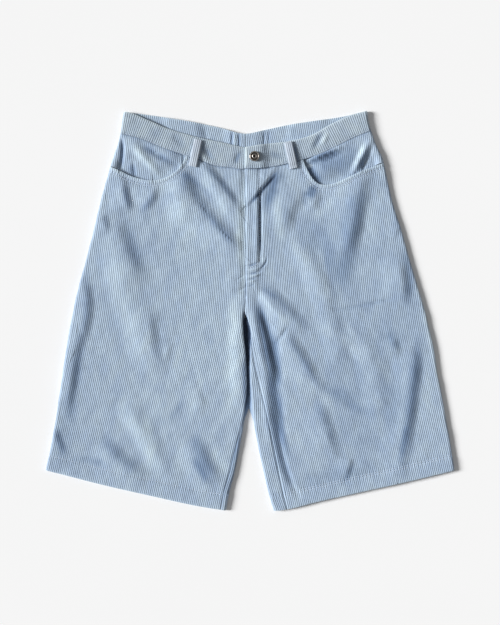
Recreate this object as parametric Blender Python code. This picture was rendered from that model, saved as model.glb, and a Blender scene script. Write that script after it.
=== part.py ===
"""Corduroy bermuda shorts laid flat on their back, one closed solid for each piece that is cut and sewn.

X points to the viewer's right, Y to the waist and Z up, so the front faces up. The origin is the middle of
the garment's outline on the surface that it rests on. Left and right are the viewer's. All sizes are metres.

A leg is a flattened tube. Its cloth is laid out by two coordinates: y, and the way across, which runs from
the leg's inner line outward, over the front or underneath. At both sides the tube turns over a rolled edge.
Above the crotch the inner line is the centre front, where the tube is open and the fronts meet as the fly.
"""

import math
from collections import namedtuple

import bmesh
import bpy
import numpy as np

LEFT, RIGHT = -1, 1
FRONT, BACK = 1, -1

# Cloth
CLOTH = 0.0016
HEM_CLOTH = 0.0026
BAND_CLOTH = 0.0030
LOOP_CLOTH = 0.0020
BACK_LOOP_CLOTH = 0.0016
GAP = 0.0003

# Heights of the front's outer face above the surface
LEG_TOP = 0.0066
BAND_TOP = 0.0085
LEAST_TOP = 2 * CLOTH + 2 * GAP
POCKET_RISE = 0.0013
CENTRE_RISE = 0.0008
HEM_RISE = 0.0006
SOFTNESS = 0.0005

# The rolled sides
SIDE_REACH = 0.0050
SIDE_QUARTER = 0.0068
CROTCH_OPEN_Y = 0.026
CROTCH_CLOSED_Y = -0.010

# Waistband, hems and loops
HEM_DEPTH = 0.026
HEM_FADE = 0.006
LOOP_WIDTH = 0.014
LOOP_LENGTH = 0.044
LOOP_ARCH, LOOP_CROWN = 0.0012, 0.0004
BACK_LOOP_INSET = 0.002
LOOP_STEP = (0.001, 0.007)
BRIDGE_BESIDE, BRIDGE_REACH = 0.012, 0.030

# Fly
FLY_WIDTH = 0.0165
FLY_UNDERLAP = 0.012
BAND_UNDERLAP, BAND_LAP_WIDTH = 0.022, 0.025
FLY_END_Y = 0.042
FLY_RUN_OUT = 0.024
FLY_LIFT, FLY_DIP = 0.0010, 0.0015
FLY_FADE = 0.007
LAP_STEP, LAP_EASE = 0.006, 0.006
DIP_START, DIP_FULL = 0.012, 0.002
BAND_LIFT, BAND_DIP = 0.0033, 0.0002
BAND_FADE = 0.016
CENTRE_X = -0.0075

# Pockets
FACING_OVERLAP = 0.012
FACING_DROP = CLOTH + 3 * GAP
MOUTH_DROP_FULL, MOUTH_DROP_END = 0.004, 0.020
SIDE_DROP_START, SIDE_DROP_FULL = 0.006, 0.018
OVERLAP_START, OVERLAP_FULL = 0.016, 0.045

# Button
BUTTON_CENTRE = (0.0075, 0.254)
BUTTON_RADIUS = 0.0085
BUTTON_SEGMENTS = 32

# Looks
CLOTH_COLOUR, CLOTH_ROUGHNESS = (0.34, 0.47, 0.62), 0.9
METAL_COLOUR, METAL_ROUGHNESS = (0.20, 0.19, 0.18), 0.35

# Meshes: the columns beside an edge, as parts of a panel's width, and the counts of rows and other columns
EDGE_STEPS = (0.0, 0.010, 0.021, 0.034)
WRAP_STEPS = (0.0, 0.010, 0.021, 0.034, 0.048, 0.066, 0.090, 0.115, 0.140)
FRONT_ROWS, BACK_ROWS, HEM_ROWS, FACING_ROWS, BAND_ROWS, LOOP_ROWS = 30, 24, 2, 8, 4, 9
FLY_SIDE_COLUMNS, POCKET_SIDE_COLUMNS, BACK_COLUMNS = 10, 13, 6
FACING_COLUMNS, BAND_COLUMNS, BACK_BAND_COLUMNS, LOOP_COLUMNS = 15, 17, 19, 5
POCKET_CROWDING = 1.3
SETTLING_STEPS = 25
NORMAL_STEP = 0.0002

Section = namedtuple("Section", "y out_left in_left in_right out_right")
SECTIONS = (
    Section(0.330, -0.208, -0.008, -0.008, 0.194),
    Section(0.315, -0.211, -0.008, -0.008, 0.195),
    Section(0.300, -0.213, -0.008, -0.008, 0.199),
    Section(0.280, -0.217, -0.008, -0.008, 0.206),
    Section(0.250, -0.227, -0.008, -0.008, 0.219),
    Section(0.220, -0.236, -0.008, -0.008, 0.226),
    Section(0.180, -0.247, -0.007, -0.007, 0.235),
    Section(0.130, -0.259, -0.007, -0.007, 0.251),
    Section(0.080, -0.272, -0.007, -0.007, 0.265),
    Section(0.040, -0.283, -0.007, -0.007, 0.277),
    Section(0.020, -0.288, -0.008, -0.006, 0.283),
    Section(0.000, -0.292, -0.010, -0.004, 0.289),
    Section(-0.030, -0.298, -0.0105, -0.001, 0.296),
    Section(-0.060, -0.303, -0.007, -0.001, 0.303),
    Section(-0.100, -0.309, -0.0045, -0.001, 0.309),
    Section(-0.140, -0.315, -0.0045, 0.001, 0.317),
    Section(-0.180, -0.321, -0.009, 0.005, 0.324),
    Section(-0.220, -0.328, -0.016, 0.012, 0.331),
    Section(-0.262, -0.337, -0.024, 0.021, 0.337),
    Section(-0.300, -0.344, -0.034, 0.030, 0.342),
    Section(-0.332, -0.349, -0.040, 0.039, 0.347),
)

# How far the inseam lies on top of each leg, measured over the rolled edge
Inseam = namedtuple("Inseam", "y left right")
INSEAMS = (
    Inseam(0.030, 0.0000, 0.0000),
    Inseam(-0.010, 0.0000, 0.0005),
    Inseam(-0.045, 0.0000, 0.0035),
    Inseam(-0.080, 0.0000, 0.0090),
    Inseam(-0.110, 0.0003, 0.0150),
    Inseam(-0.145, 0.0015, 0.0215),
    Inseam(-0.180, 0.0040, 0.0260),
    Inseam(-0.215, 0.0080, 0.0275),
    Inseam(-0.255, 0.0105, 0.0270),
    Inseam(-0.340, 0.0110, 0.0250),
)

# Edges that run across the garment, each as a height y for a place x
Level = namedtuple("Level", "x y")
BAND_UPPER = {
    LEFT: (
        Level(-0.212, 0.3285),
        Level(-0.200, 0.327),
        Level(-0.170, 0.315),
        Level(-0.132, 0.299),
        Level(-0.099, 0.289),
        Level(-0.046, 0.277),
        Level(-0.008, 0.269),
        Level(0.020, 0.266),
    ),
    RIGHT: (
        Level(-0.010, 0.269),
        Level(0.020, 0.274),
        Level(0.066, 0.280),
        Level(0.102, 0.290),
        Level(0.132, 0.307),
        Level(0.165, 0.322),
        Level(0.196, 0.330),
    ),
}
BAND_LOWER = {
    LEFT: (
        Level(-0.216, 0.292),
        Level(-0.186, 0.285),
        Level(-0.140, 0.267),
        Level(-0.106, 0.256),
        Level(-0.082, 0.248),
        Level(-0.058, 0.239),
        Level(-0.033, 0.236),
        Level(-0.009, 0.234),
        Level(0.000, 0.238),
        Level(0.020, 0.238),
    ),
    RIGHT: (
        Level(-0.010, 0.234),
        Level(0.020, 0.235),
        Level(0.056, 0.241),
        Level(0.087, 0.249),
        Level(0.124, 0.262),
        Level(0.144, 0.272),
        Level(0.182, 0.290),
        Level(0.203, 0.298),
    ),
}
BACK_UPPER = (
    Level(-0.212, 0.3285),
    Level(-0.200, 0.327),
    Level(-0.148, 0.320),
    Level(-0.099, 0.312),
    Level(-0.050, 0.302),
    Level(-0.010, 0.292),
    Level(0.028, 0.299),
    Level(0.066, 0.307),
    Level(0.099, 0.312),
    Level(0.157, 0.321),
    Level(0.196, 0.330),
)
BACK_LOWER = (
    Level(-0.216, 0.292),
    Level(-0.186, 0.290),
    Level(-0.148, 0.286),
    Level(-0.099, 0.278),
    Level(-0.050, 0.268),
    Level(-0.010, 0.258),
    Level(0.028, 0.265),
    Level(0.066, 0.273),
    Level(0.099, 0.278),
    Level(0.157, 0.289),
    Level(0.203, 0.298),
)
POCKET_MOUTH = {
    LEFT: (
        Level(-0.236, 0.240),
        Level(-0.214, 0.231),
        Level(-0.198, 0.223),
        Level(-0.182, 0.218),
        Level(-0.166, 0.215),
        Level(-0.151, 0.216),
        Level(-0.138, 0.220),
        Level(-0.128, 0.226),
        Level(-0.119, 0.234),
        Level(-0.111, 0.244),
        Level(-0.105, 0.256),
    ),
    RIGHT: (
        Level(0.087, 0.249),
        Level(0.092, 0.238),
        Level(0.098, 0.226),
        Level(0.104, 0.217),
        Level(0.112, 0.210),
        Level(0.122, 0.208),
        Level(0.134, 0.209),
        Level(0.148, 0.214),
        Level(0.165, 0.222),
        Level(0.190, 0.233),
        Level(0.205, 0.2385),
        Level(0.226, 0.246),
    ),
}
HEM = {
    LEFT: (
        Level(-0.350, -0.259),
        Level(-0.314, -0.268),
        Level(-0.248, -0.285),
        Level(-0.165, -0.304),
        Level(-0.082, -0.322),
        Level(-0.024, -0.331),
    ),
    RIGHT: (
        Level(0.024, -0.331),
        Level(0.058, -0.327),
        Level(0.116, -0.313),
        Level(0.165, -0.302),
        Level(0.264, -0.280),
        Level(0.350, -0.259),
    ),
}

# The largest folds. Each runs from point 0 past point 1 to point 2 and stands up by its height, or down where
# that is negative. Its width is from the middle to where it fades, and start and end say how much of the
# height it has at its ends.
Fold = namedtuple("Fold", "x0 y0 x1 y1 x2 y2 height width start end")
FOLDS = (
    # left leg, from the waist down
    Fold(-0.078, 0.233, -0.048, 0.190, -0.027, 0.160, 0.0021, 0.015, 0.6, 0),
    Fold(-0.068, 0.236, -0.034, 0.202, -0.014, 0.160, -0.0024, 0.013, 0.8, 0.1),
    Fold(-0.111, 0.226, -0.069, 0.163, -0.014, 0.096, -0.0024, 0.018, 0.6, 0.1),
    Fold(-0.128, 0.212, -0.124, 0.175, -0.116, 0.130, 0.0024, 0.022, 0.5, 0),
    Fold(-0.213, 0.213, -0.206, 0.183, -0.196, 0.155, -0.0016, 0.013, 0.7, 0),
    Fold(-0.153, 0.202, -0.160, 0.183, -0.178, 0.168, -0.0016, 0.012, 0.5, 0),
    Fold(-0.223, 0.140, -0.196, 0.084, -0.152, 0.040, -0.0021, 0.019, 0, 0),
    Fold(-0.239, 0.125, -0.210, 0.010, -0.165, -0.135, 0.0026, 0.024, 0, 0),
    Fold(-0.168, 0.025, -0.163, -0.052, -0.143, -0.125, -0.0018, 0.017, 0, 0),
    Fold(-0.274, 0.058, -0.264, 0.002, -0.279, -0.052, -0.0021, 0.012, 0, 0.4),
    Fold(-0.277, -0.042, -0.290, -0.106, -0.300, -0.178, -0.0018, 0.012, 0.3, 0),
    Fold(-0.214, -0.145, -0.190, -0.196, -0.142, -0.272, 0.0021, 0.019, 0, 0.3),
    Fold(-0.239, -0.208, -0.210, -0.242, -0.157, -0.270, -0.0019, 0.016, 0, 0),
    Fold(-0.091, -0.210, -0.078, -0.245, -0.052, -0.285, -0.0016, 0.014, 0, 0.3),
    Fold(-0.028, 0.005, -0.025, -0.080, -0.024, -0.185, 0.0016, 0.015, 0, 0),
    # right leg
    Fold(0.016, 0.195, 0.016, 0.134, 0.016, 0.070, -0.0019, 0.008, 0.3, 0.2),
    Fold(0.040, 0.230, 0.021, 0.196, -0.004, 0.172, -0.0017, 0.008, 0.7, 0.2),
    Fold(0.096, 0.196, 0.064, 0.165, 0.066, 0.118, -0.0018, 0.017, 0.2, 0),
    Fold(0.195, 0.214, 0.172, 0.134, 0.156, 0.048, -0.0027, 0.015, 0.8, 0),
    Fold(0.050, 0.104, 0.102, 0.066, 0.134, -0.018, 0.0024, 0.021, 0, 0),
    Fold(0.251, 0.088, 0.258, 0.047, 0.262, 0.008, -0.0018, 0.015, 0, 0),
    Fold(0.013, 0.028, 0.036, 0.006, 0.068, -0.028, 0.0021, 0.011, 0.3, 0),
    Fold(0.020, 0.038, 0.054, 0.010, 0.108, -0.042, -0.0017, 0.012, 0, 0),
    Fold(0.055, -0.036, 0.092, -0.083, 0.134, -0.150, -0.0023, 0.015, 0, 0),
    Fold(0.005, 0.024, 0.031, -0.046, 0.045, -0.142, -0.0022, 0.010, 0.3, 1),
    Fold(0.045, -0.138, 0.052, -0.221, 0.086, -0.312, -0.0022, 0.010, 1, 0.5),
    Fold(0.282, -0.052, 0.276, -0.140, 0.250, -0.240, -0.0021, 0.015, 0, 0),
    Fold(0.114, -0.155, 0.128, -0.192, 0.140, -0.232, -0.0018, 0.016, 0, 0),
    Fold(0.172, -0.030, 0.196, -0.120, 0.206, -0.215, 0.0019, 0.024, 0, 0),
)
FOLD_STEPS = 12
FOLD_TAPER = 0.35

# Ovals in which the layers under the front lift it
Oval = namedtuple("Oval", "x y reach_x reach_y")
OVAL_PLATEAU = 0.55
POCKET_AREAS = (Oval(-0.165, 0.250, 0.105, 0.080), Oval(0.150, 0.250, 0.105, 0.080))
CENTRE_AREA = Oval(CENTRE_X, 0.120, 0.045, 0.190)
FLY_AREA = Oval(CENTRE_X, 0.150, 0.025, 0.150)

# Belt loops: on the front from their upper to their lower end, and under the back from their upper end down
FrontLoop = namedtuple("FrontLoop", "upper_x upper_y lower_x lower_y")
FRONT_LOOPS = {
    LEFT: FrontLoop(-0.0850, 0.2815, -0.0945, 0.2375),
    RIGHT: FrontLoop(0.0625, 0.2775, 0.0720, 0.2345),
}
BackLoop = namedtuple("BackLoop", "name x slant")
BACK_LOOPS = (
    BackLoop("belt_loop_back_left", -0.112, -0.10),
    BackLoop("belt_loop_back_middle", -0.010, 0.0),
    BackLoop("belt_loop_back_right", 0.096, 0.10),
)

# The button from its foot round to its open middle
Turning = namedtuple("Turning", "radius height")
BUTTON_PROFILE = (
    Turning(0.0, 0.0),
    Turning(0.0055, 0.0),
    Turning(0.0058, 0.0009),
    Turning(0.0081, 0.0011),
    Turning(BUTTON_RADIUS, 0.0019),
    Turning(0.0083, 0.0030),
    Turning(0.0074, 0.0037),
    Turning(0.0062, 0.0036),
    Turning(0.0055, 0.0027),
    Turning(0.0036, 0.0025),
    Turning(0.0030, 0.0031),
    Turning(0.0021, 0.0030),
    Turning(0.0017, 0.0019),
    Turning(0.0, 0.0017),
)


# ---- curves and blends -------------------------------------------------------------------------------------


def curve(places, values):
    """A smooth function through a table's columns, level past both ends."""
    places = np.asarray(places, float)
    values = np.asarray(values, float)
    slopes = np.gradient(values, places)

    def at(x):
        x = np.clip(x, places[0], places[-1])
        i = np.clip(np.searchsorted(places, x) - 1, 0, len(places) - 2)
        step = places[i + 1] - places[i]
        t = (x - places[i]) / step
        rise = values[i + 1] - values[i]
        bend_in = slopes[i] * step - rise
        bend_out = rise - slopes[i + 1] * step
        return values[i] + t * rise + t * (1 - t) * ((1 - t) * bend_in + t * bend_out)

    return at


def curve_of(rows, place, value):
    rows = sorted(rows, key=lambda row: getattr(row, place))
    return curve([getattr(row, place) for row in rows], [getattr(row, value) for row in rows])


def ramp(value, start, end):
    """0 before start, 1 past end, and a smooth step between."""
    t = np.clip((value - start) / (end - start), 0, 1)
    return t * t * (3 - 2 * t)


INNER = {LEFT: curve_of(SECTIONS, "y", "in_left"), RIGHT: curve_of(SECTIONS, "y", "in_right")}
OUTER = {LEFT: curve_of(SECTIONS, "y", "out_left"), RIGHT: curve_of(SECTIONS, "y", "out_right")}
WRAP = {LEFT: curve_of(INSEAMS, "y", "left"), RIGHT: curve_of(INSEAMS, "y", "right")}
BAND_TOP_EDGE = {side: curve_of(BAND_UPPER[side], "x", "y") for side in (LEFT, RIGHT)}
WAIST_SEAM = {side: curve_of(BAND_LOWER[side], "x", "y") for side in (LEFT, RIGHT)}
MOUTH = {side: curve_of(POCKET_MOUTH[side], "x", "y") for side in (LEFT, RIGHT)}
HEM_EDGE = {side: curve_of(HEM[side], "x", "y") for side in (LEFT, RIGHT)}
BACK_TOP_EDGE = curve_of(BACK_UPPER, "x", "y")
BACK_WAIST_SEAM = curve_of(BACK_LOWER, "x", "y")


def pocket_corner(side):
    """The place on the waist seam where the pocket mouth starts."""
    row = min(POCKET_MOUTH[side], key=lambda row: abs(row.x))
    return row.x, row.y


def front_top_edge(side):
    """The front panel's upper edge: the waist seam, then the pocket mouth out to the side."""
    corner, _ = pocket_corner(side)

    def at(x):
        beyond = side * x > side * corner
        return np.where(beyond, np.minimum(MOUTH[side](x), WAIST_SEAM[side](x)), WAIST_SEAM[side](x))

    return at


def distance_along(path, x, y):
    """The distance from each point to a path, and how far along it the nearest place lies, 0 to 1."""
    nearest = np.full(np.shape(x), np.inf)
    along = np.zeros(np.shape(x))
    count = len(path) - 1
    for i in range(count):
        (ax, ay), (bx, by) = path[i], path[i + 1]
        dx, dy = bx - ax, by - ay
        t = np.clip(((x - ax) * dx + (y - ay) * dy) / (dx * dx + dy * dy), 0, 1)
        distance = np.hypot(x - ax - t * dx, y - ay - t * dy)
        closer = distance < nearest
        nearest = np.where(closer, distance, nearest)
        along = np.where(closer, (i + t) / count, along)
    return nearest, along


def fold_path(fold):
    """Points on the parabola that passes point 1 half-way."""
    t = np.linspace(0, 1, FOLD_STEPS + 1)
    lift = 4 * t * (1 - t)
    x = fold.x0 + (fold.x2 - fold.x0) * t + (fold.x1 - (fold.x0 + fold.x2) / 2) * lift
    y = fold.y0 + (fold.y2 - fold.y0) * t + (fold.y1 - (fold.y0 + fold.y2) / 2) * lift
    return list(zip(x, y))


def fold_height(fold, x, y):
    distance, along = distance_along(fold_path(fold), x, y)
    swell = ramp(along, 0, FOLD_TAPER) * (1 - fold.start) + fold.start
    fade = ramp(1 - along, 0, FOLD_TAPER) * (1 - fold.end) + fold.end
    return fold.height * swell * fade * (1 - ramp(distance, 0, fold.width))


# ---- heights ---------------------------------------------------------------------------------------------


def bump(oval, x, y):
    """1 in the middle of an oval and 0 outside it."""
    away = np.hypot((x - oval.x) / oval.reach_x, (y - oval.y) / oval.reach_y)
    return 1 - ramp(away, OVAL_PLATEAU, 1)


def leg_top(x, y):
    """Height of the fronts' outer face, which never sinks into the layers under it."""
    pockets = sum(bump(oval, x, y) for oval in POCKET_AREAS)
    height = LEG_TOP + POCKET_RISE * pockets + CENTRE_RISE * bump(CENTRE_AREA, x, y)
    for side in (LEFT, RIGHT):
        above_hem = y - HEM_EDGE[side](x)
        thick = 1 - ramp(above_hem, HEM_DEPTH - HEM_FADE, HEM_DEPTH + HEM_FADE)
        height = height + np.where(side * x > 0, HEM_RISE * thick, 0)
    height = height + sum(fold_height(fold, x, y) for fold in FOLDS)
    least = LEAST_TOP + (FACING_DROP + GAP) * pockets + FLY_DIP * bump(FLY_AREA, x, y)
    return least + SOFTNESS * np.logaddexp(0, (height - least) / SOFTNESS)


def band_top(x, y):
    return BAND_TOP + 0 * x


def fly_zone(y):
    """1 along the fly and 0 from its end down."""
    return ramp(y, FLY_END_Y - FLY_RUN_OUT, FLY_END_Y)


def lapped(top, side, lift, dip, width, fade):
    """The height of a front at the fly: the right side's edge strip stands over the left side's underlap."""

    def at(x, y):
        if side == RIGHT:
            strip = 1 - ramp(x, CENTRE_X + width, CENTRE_X + width + fade)
            return top(x, y) + lift * strip * fly_zone(y)
        strip = ramp(x, CENTRE_X - DIP_START, CENTRE_X - DIP_FULL)
        return top(x, y) - dip * strip * fly_zone(y)

    return at


def facing_top(side):
    """The pocket facing lies under the front's mouth edge and comes up to the waistband and the side."""
    path = [(row.x, row.y) for row in POCKET_MOUTH[side]]
    corner, _ = pocket_corner(side)

    def at(x, y):
        distance, _ = distance_along(path, x, y)
        open_part = (side * x > side * corner) & (y > MOUTH[side](x))
        away = np.where(open_part, distance, 0)
        from_side = side * (OUTER[side](y) - x)
        under_mouth = 1 - ramp(away, MOUTH_DROP_FULL, MOUTH_DROP_END)
        return leg_top(x, y) - FACING_DROP * under_mouth * ramp(from_side, SIDE_DROP_START, SIDE_DROP_FULL)

    return at


def underside(x, y):
    """The back's outer face is level, but for the places where it bridges a belt loop."""
    height = 0 * x
    for loop in BACK_LOOPS:
        down = BACK_TOP_EDGE(loop.x) - BACK_LOOP_INSET - y
        beside = np.abs(x - loop.x + loop.slant * down) - LOOP_WIDTH / 2
        past = np.maximum(beside, down - LOOP_LENGTH - BRIDGE_BESIDE)
        height = np.maximum(height, (BACK_LOOP_CLOTH + GAP) * (1 - ramp(past, BRIDGE_BESIDE, BRIDGE_REACH)))
    return height


# ---- the way across a leg --------------------------------------------------------------------------------


def closed(y):
    """1 where a leg is a closed tube and 0 above the crotch."""
    return 1 - ramp(y, CROTCH_CLOSED_Y, CROTCH_OPEN_Y)


def roll(arc):
    """How far inward cloth lies that is this far round a side from its outermost line, and its rise."""
    turn = np.clip(np.abs(arc) / SIDE_QUARTER, 0, 1) * math.pi / 2
    inward = SIDE_REACH * (1 - np.cos(turn)) + np.maximum(np.abs(arc) - SIDE_QUARTER, 0)
    return inward, np.sign(arc) * np.sin(turn)


def leg_width(side, y):
    """Cloth from the inner to the outer outermost line, over one face."""
    flat = side * (OUTER[side](y) - INNER[side](y))
    return flat + (1 + closed(y)) * (SIDE_QUARTER - SIDE_REACH)


def place(side, face, across, y, top):
    """Where cloth lies that is this far across one face of a leg, as x, y, z."""
    inward, rise = roll(across)
    shut = closed(y)
    inner_x = INNER[side](y) + side * (shut * inward + (1 - shut) * across)
    inner_rise = 1 + shut * (rise - 1)
    outward, outer_rise = roll(leg_width(side, y) - across)
    outer_x = OUTER[side](y) - side * outward
    nearer_inside = across < leg_width(side, y) / 2
    x = np.where(nearer_inside, inner_x, outer_x)
    rise = face * np.where(nearer_inside, inner_rise, outer_rise)
    low = underside(x, y)
    return x, y, low + (top(x, y) - low) * (1 + rise) / 2


def flat_top(x, y):
    return LEG_TOP + 0 * x


def wall_normals(side, face, across, y):
    """Outward directions of a leg's cloth as if it had no folds, from two short steps along it."""
    step = NORMAL_STEP
    along = np.stack(place(side, face, across, y + step, flat_top), axis=-1)
    along -= np.stack(place(side, face, across, y - step, flat_top), axis=-1)
    sideways = np.stack(place(side, face, across + step, y, flat_top), axis=-1)
    sideways -= np.stack(place(side, face, across - step, y, flat_top), axis=-1)
    normals = np.cross(sideways, along) * side * face
    return normals / np.linalg.norm(normals, axis=-1, keepdims=True)


def panel_points(side, face, start, end, columns, upper, lower, rows, top, hem=0):
    """The grid of a panel's outer face, and its outward directions.

    start and end give its seams across the leg for a height y, upper and lower its ends for a place x. The
    last HEM_ROWS rows share the hem's depth. At a seam the cloth stops short by half the gap, but the
    directions are the seam's own, so that the two cut edges are parallel.
    """
    share = np.asarray(columns)[None, :]
    down = np.append(np.linspace(0, 1, rows), np.ones(HEM_ROWS if hem else 0))[:, None]
    past = np.append(np.zeros(rows), np.linspace(0, hem, HEM_ROWS + 1)[1:] if hem else [])[:, None]
    y = np.zeros((len(down), share.shape[1]))
    for _ in range(SETTLING_STEPS):
        across = start(y) + GAP / 2 + share * (end(y) - start(y) - GAP)
        x, _, _ = place(side, face, across, y, flat_top)
        y = upper(x) * (1 - down) + (lower(x) + hem) * down - past
    points = np.stack(place(side, face, across, y, top), axis=-1)
    at_seams = start(y) + share * (end(y) - start(y))
    return points, wall_normals(side, face, at_seams, y)


def edged(inner_columns):
    """Columns with the fine edge steps at both sides."""
    steps = np.asarray(EDGE_STEPS)
    return np.concatenate([steps, inner_columns, 1 - steps[::-1]])


def between(count, start=EDGE_STEPS[-1], end=1 - EDGE_STEPS[-1]):
    return np.linspace(start, end, count + 2)[1:-1]


# ---- solids ------------------------------------------------------------------------------------------------


def add_object(name, points, faces, material, sharp=math.radians(40)):
    mesh = bpy.data.meshes.new(name)
    mesh.from_pydata([tuple(point) for point in points], [], faces)
    solid = bmesh.new()
    solid.from_mesh(mesh)
    bmesh.ops.recalc_face_normals(solid, faces=solid.faces)
    solid.to_mesh(mesh)
    solid.free()
    mesh.materials.append(material)
    mesh.shade_smooth()
    mesh.set_sharp_from_angle(angle=sharp)
    piece = bpy.data.objects.new(name, mesh)
    bpy.context.collection.objects.link(piece)
    return piece


def add_wall(name, outer, normals, thickness, material):
    """A closed wall whose outer face is the grid of points and whose inner face lies the thickness inside."""
    rows, columns = outer.shape[:2]
    inner = outer - normals * np.broadcast_to(thickness, (rows, columns))[..., None]
    size = rows * columns
    faces = []

    def number(row, column, layer):
        return row * columns + column + layer * size

    for row in range(rows - 1):
        for column in range(columns - 1):
            ring = ((row, column), (row + 1, column), (row + 1, column + 1), (row, column + 1))
            for half in (ring[:3], (ring[0], ring[2], ring[3])):
                faces.append([number(r, c, 0) for r, c in half])
                faces.append([number(r, c, 1) for r, c in reversed(half)])
    for column in range(columns - 1):
        for row in (0, rows - 1):
            ends = (number(row, column, 0), number(row, column + 1, 0))
            faces.append([*ends, number(row, column + 1, 1), number(row, column, 1)])
    for row in range(rows - 1):
        for column in (0, columns - 1):
            ends = (number(row, column, 0), number(row + 1, column, 0))
            faces.append([*ends, number(row + 1, column, 1), number(row, column, 1)])
    points = np.concatenate([outer.reshape(-1, 3), inner.reshape(-1, 3)])
    return add_object(name, points, faces, material)


def side_name(side):
    return "left" if side == LEFT else "right"


def panel_thickness(points, side):
    """The cloth is doubled where the hem is turned up."""
    above = points[..., 1] - HEM_EDGE[side](points[..., 0])
    return CLOTH + (HEM_CLOTH - CLOTH) * (1 - ramp(above, HEM_DEPTH, HEM_DEPTH + HEM_FADE))


def add_front_panel(side, cloth):
    corner_x, corner_y = pocket_corner(side)

    def start(y):
        lap = FLY_UNDERLAP * ramp(y, FLY_END_Y, FLY_END_Y + FLY_RUN_OUT) if side == LEFT else 0
        return WRAP[side](y) - lap

    def end(y):
        return leg_width(side, y)

    corner_across = side * (corner_x - INNER[side](corner_y))
    corner_share = (corner_across - start(corner_y)) / (end(corner_y) - start(corner_y))
    near = between(FLY_SIDE_COLUMNS, end=corner_share)
    out = np.linspace(0, 1, POCKET_SIDE_COLUMNS + 1)[:-1] ** POCKET_CROWDING
    far = corner_share + (1 - EDGE_STEPS[-1] - corner_share) * out
    top = lapped(leg_top, side, FLY_LIFT, FLY_DIP, FLY_WIDTH, FLY_FADE)
    edge = front_top_edge(side)

    def upper(x):
        """Under the right front's lap the left front ends below the waistband's end."""
        lapped_part = ramp(x, CENTRE_X - LAP_EASE, CENTRE_X) if side == LEFT else 0
        return edge(x) - GAP / 2 - LAP_STEP * lapped_part

    points, normals = panel_points(
        side,
        FRONT,
        start,
        end,
        edged(np.concatenate([near, far])),
        upper,
        HEM_EDGE[side],
        FRONT_ROWS,
        top,
        HEM_DEPTH,
    )
    add_wall(f"front_panel_{side_name(side)}", points, normals, panel_thickness(points, side), cloth)


def add_back_panel(side, cloth):
    def start(y):
        return -closed(y) * WRAP[side](y)

    def end(y):
        return leg_width(side, y)

    middle = between(BACK_COLUMNS, WRAP_STEPS[-1])
    columns = np.concatenate([WRAP_STEPS, middle, 1 - np.asarray(EDGE_STEPS)[::-1]])
    points, normals = panel_points(
        side,
        BACK,
        start,
        end,
        columns,
        lambda x: BACK_WAIST_SEAM(x) - GAP / 2,
        HEM_EDGE[side],
        BACK_ROWS,
        leg_top,
        HEM_DEPTH,
    )
    add_wall(f"back_panel_{side_name(side)}", points, normals, panel_thickness(points, side), cloth)


def facing_lower_edge(side):
    """The mouth's curve, moved under the front by the overlap, which runs out at the side."""
    rows = sorted(POCKET_MOUTH[side], key=lambda row: abs(row.x))
    x = np.asarray([row.x for row in rows])
    y = np.asarray([row.y for row in rows])
    slope_x, slope_y = np.gradient(x), np.gradient(y)
    length = np.hypot(slope_x, slope_y)
    overlap = FACING_OVERLAP * ramp(side * (OUTER[side](y) - x), OVERLAP_START, OVERLAP_FULL)
    x = x + side * slope_y / length * overlap
    y = y - side * slope_x / length * overlap
    order = np.argsort(x)
    return curve(x[order], y[order]), x[0]


def add_pocket_facing(side, cloth):
    lower, inner_x = facing_lower_edge(side)

    def start(y):
        return side * (inner_x - INNER[side](y))

    def end(y):
        return leg_width(side, y)

    points, normals = panel_points(
        side,
        FRONT,
        start,
        end,
        edged(between(FACING_COLUMNS)),
        lambda x: WAIST_SEAM[side](x) - GAP / 2,
        lambda x: lower(x) + 3 * GAP,
        FACING_ROWS,
        facing_top(side),
    )
    add_wall(f"pocket_facing_{side_name(side)}", points, normals, CLOTH, cloth)


def add_front_band(side, cloth):
    def start(y):
        return 0 * y - (BAND_UNDERLAP if side == LEFT else 0)

    def end(y):
        return leg_width(side, y)

    points, normals = panel_points(
        side,
        FRONT,
        start,
        end,
        edged(between(BAND_COLUMNS)),
        BAND_TOP_EDGE[side],
        lambda x: WAIST_SEAM[side](x) + GAP / 2,
        BAND_ROWS,
        lapped(band_top, side, BAND_LIFT, BAND_DIP, BAND_LAP_WIDTH, BAND_FADE),
    )
    add_wall(f"waistband_front_{side_name(side)}", points, normals, BAND_CLOTH, cloth)


def add_back_band(cloth):
    """The back waistband is one piece from side to side, under both fronts."""
    halves = []
    for side in (LEFT, RIGHT):
        half = panel_points(
            side,
            BACK,
            lambda y: 0 * y,
            lambda y: leg_width(side, y),
            np.concatenate([between(BACK_BAND_COLUMNS, 0.0), 1 - np.asarray(EDGE_STEPS)[::-1]]),
            BACK_TOP_EDGE,
            lambda x: BACK_WAIST_SEAM(x) + GAP / 2,
            BAND_ROWS,
            band_top,
        )
        halves.append(half)
    points, normals = (np.concatenate([left[:, ::-1], right], axis=1) for left, right in zip(*halves))
    add_wall("waistband_back", points, normals, BAND_CLOTH, cloth)


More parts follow.
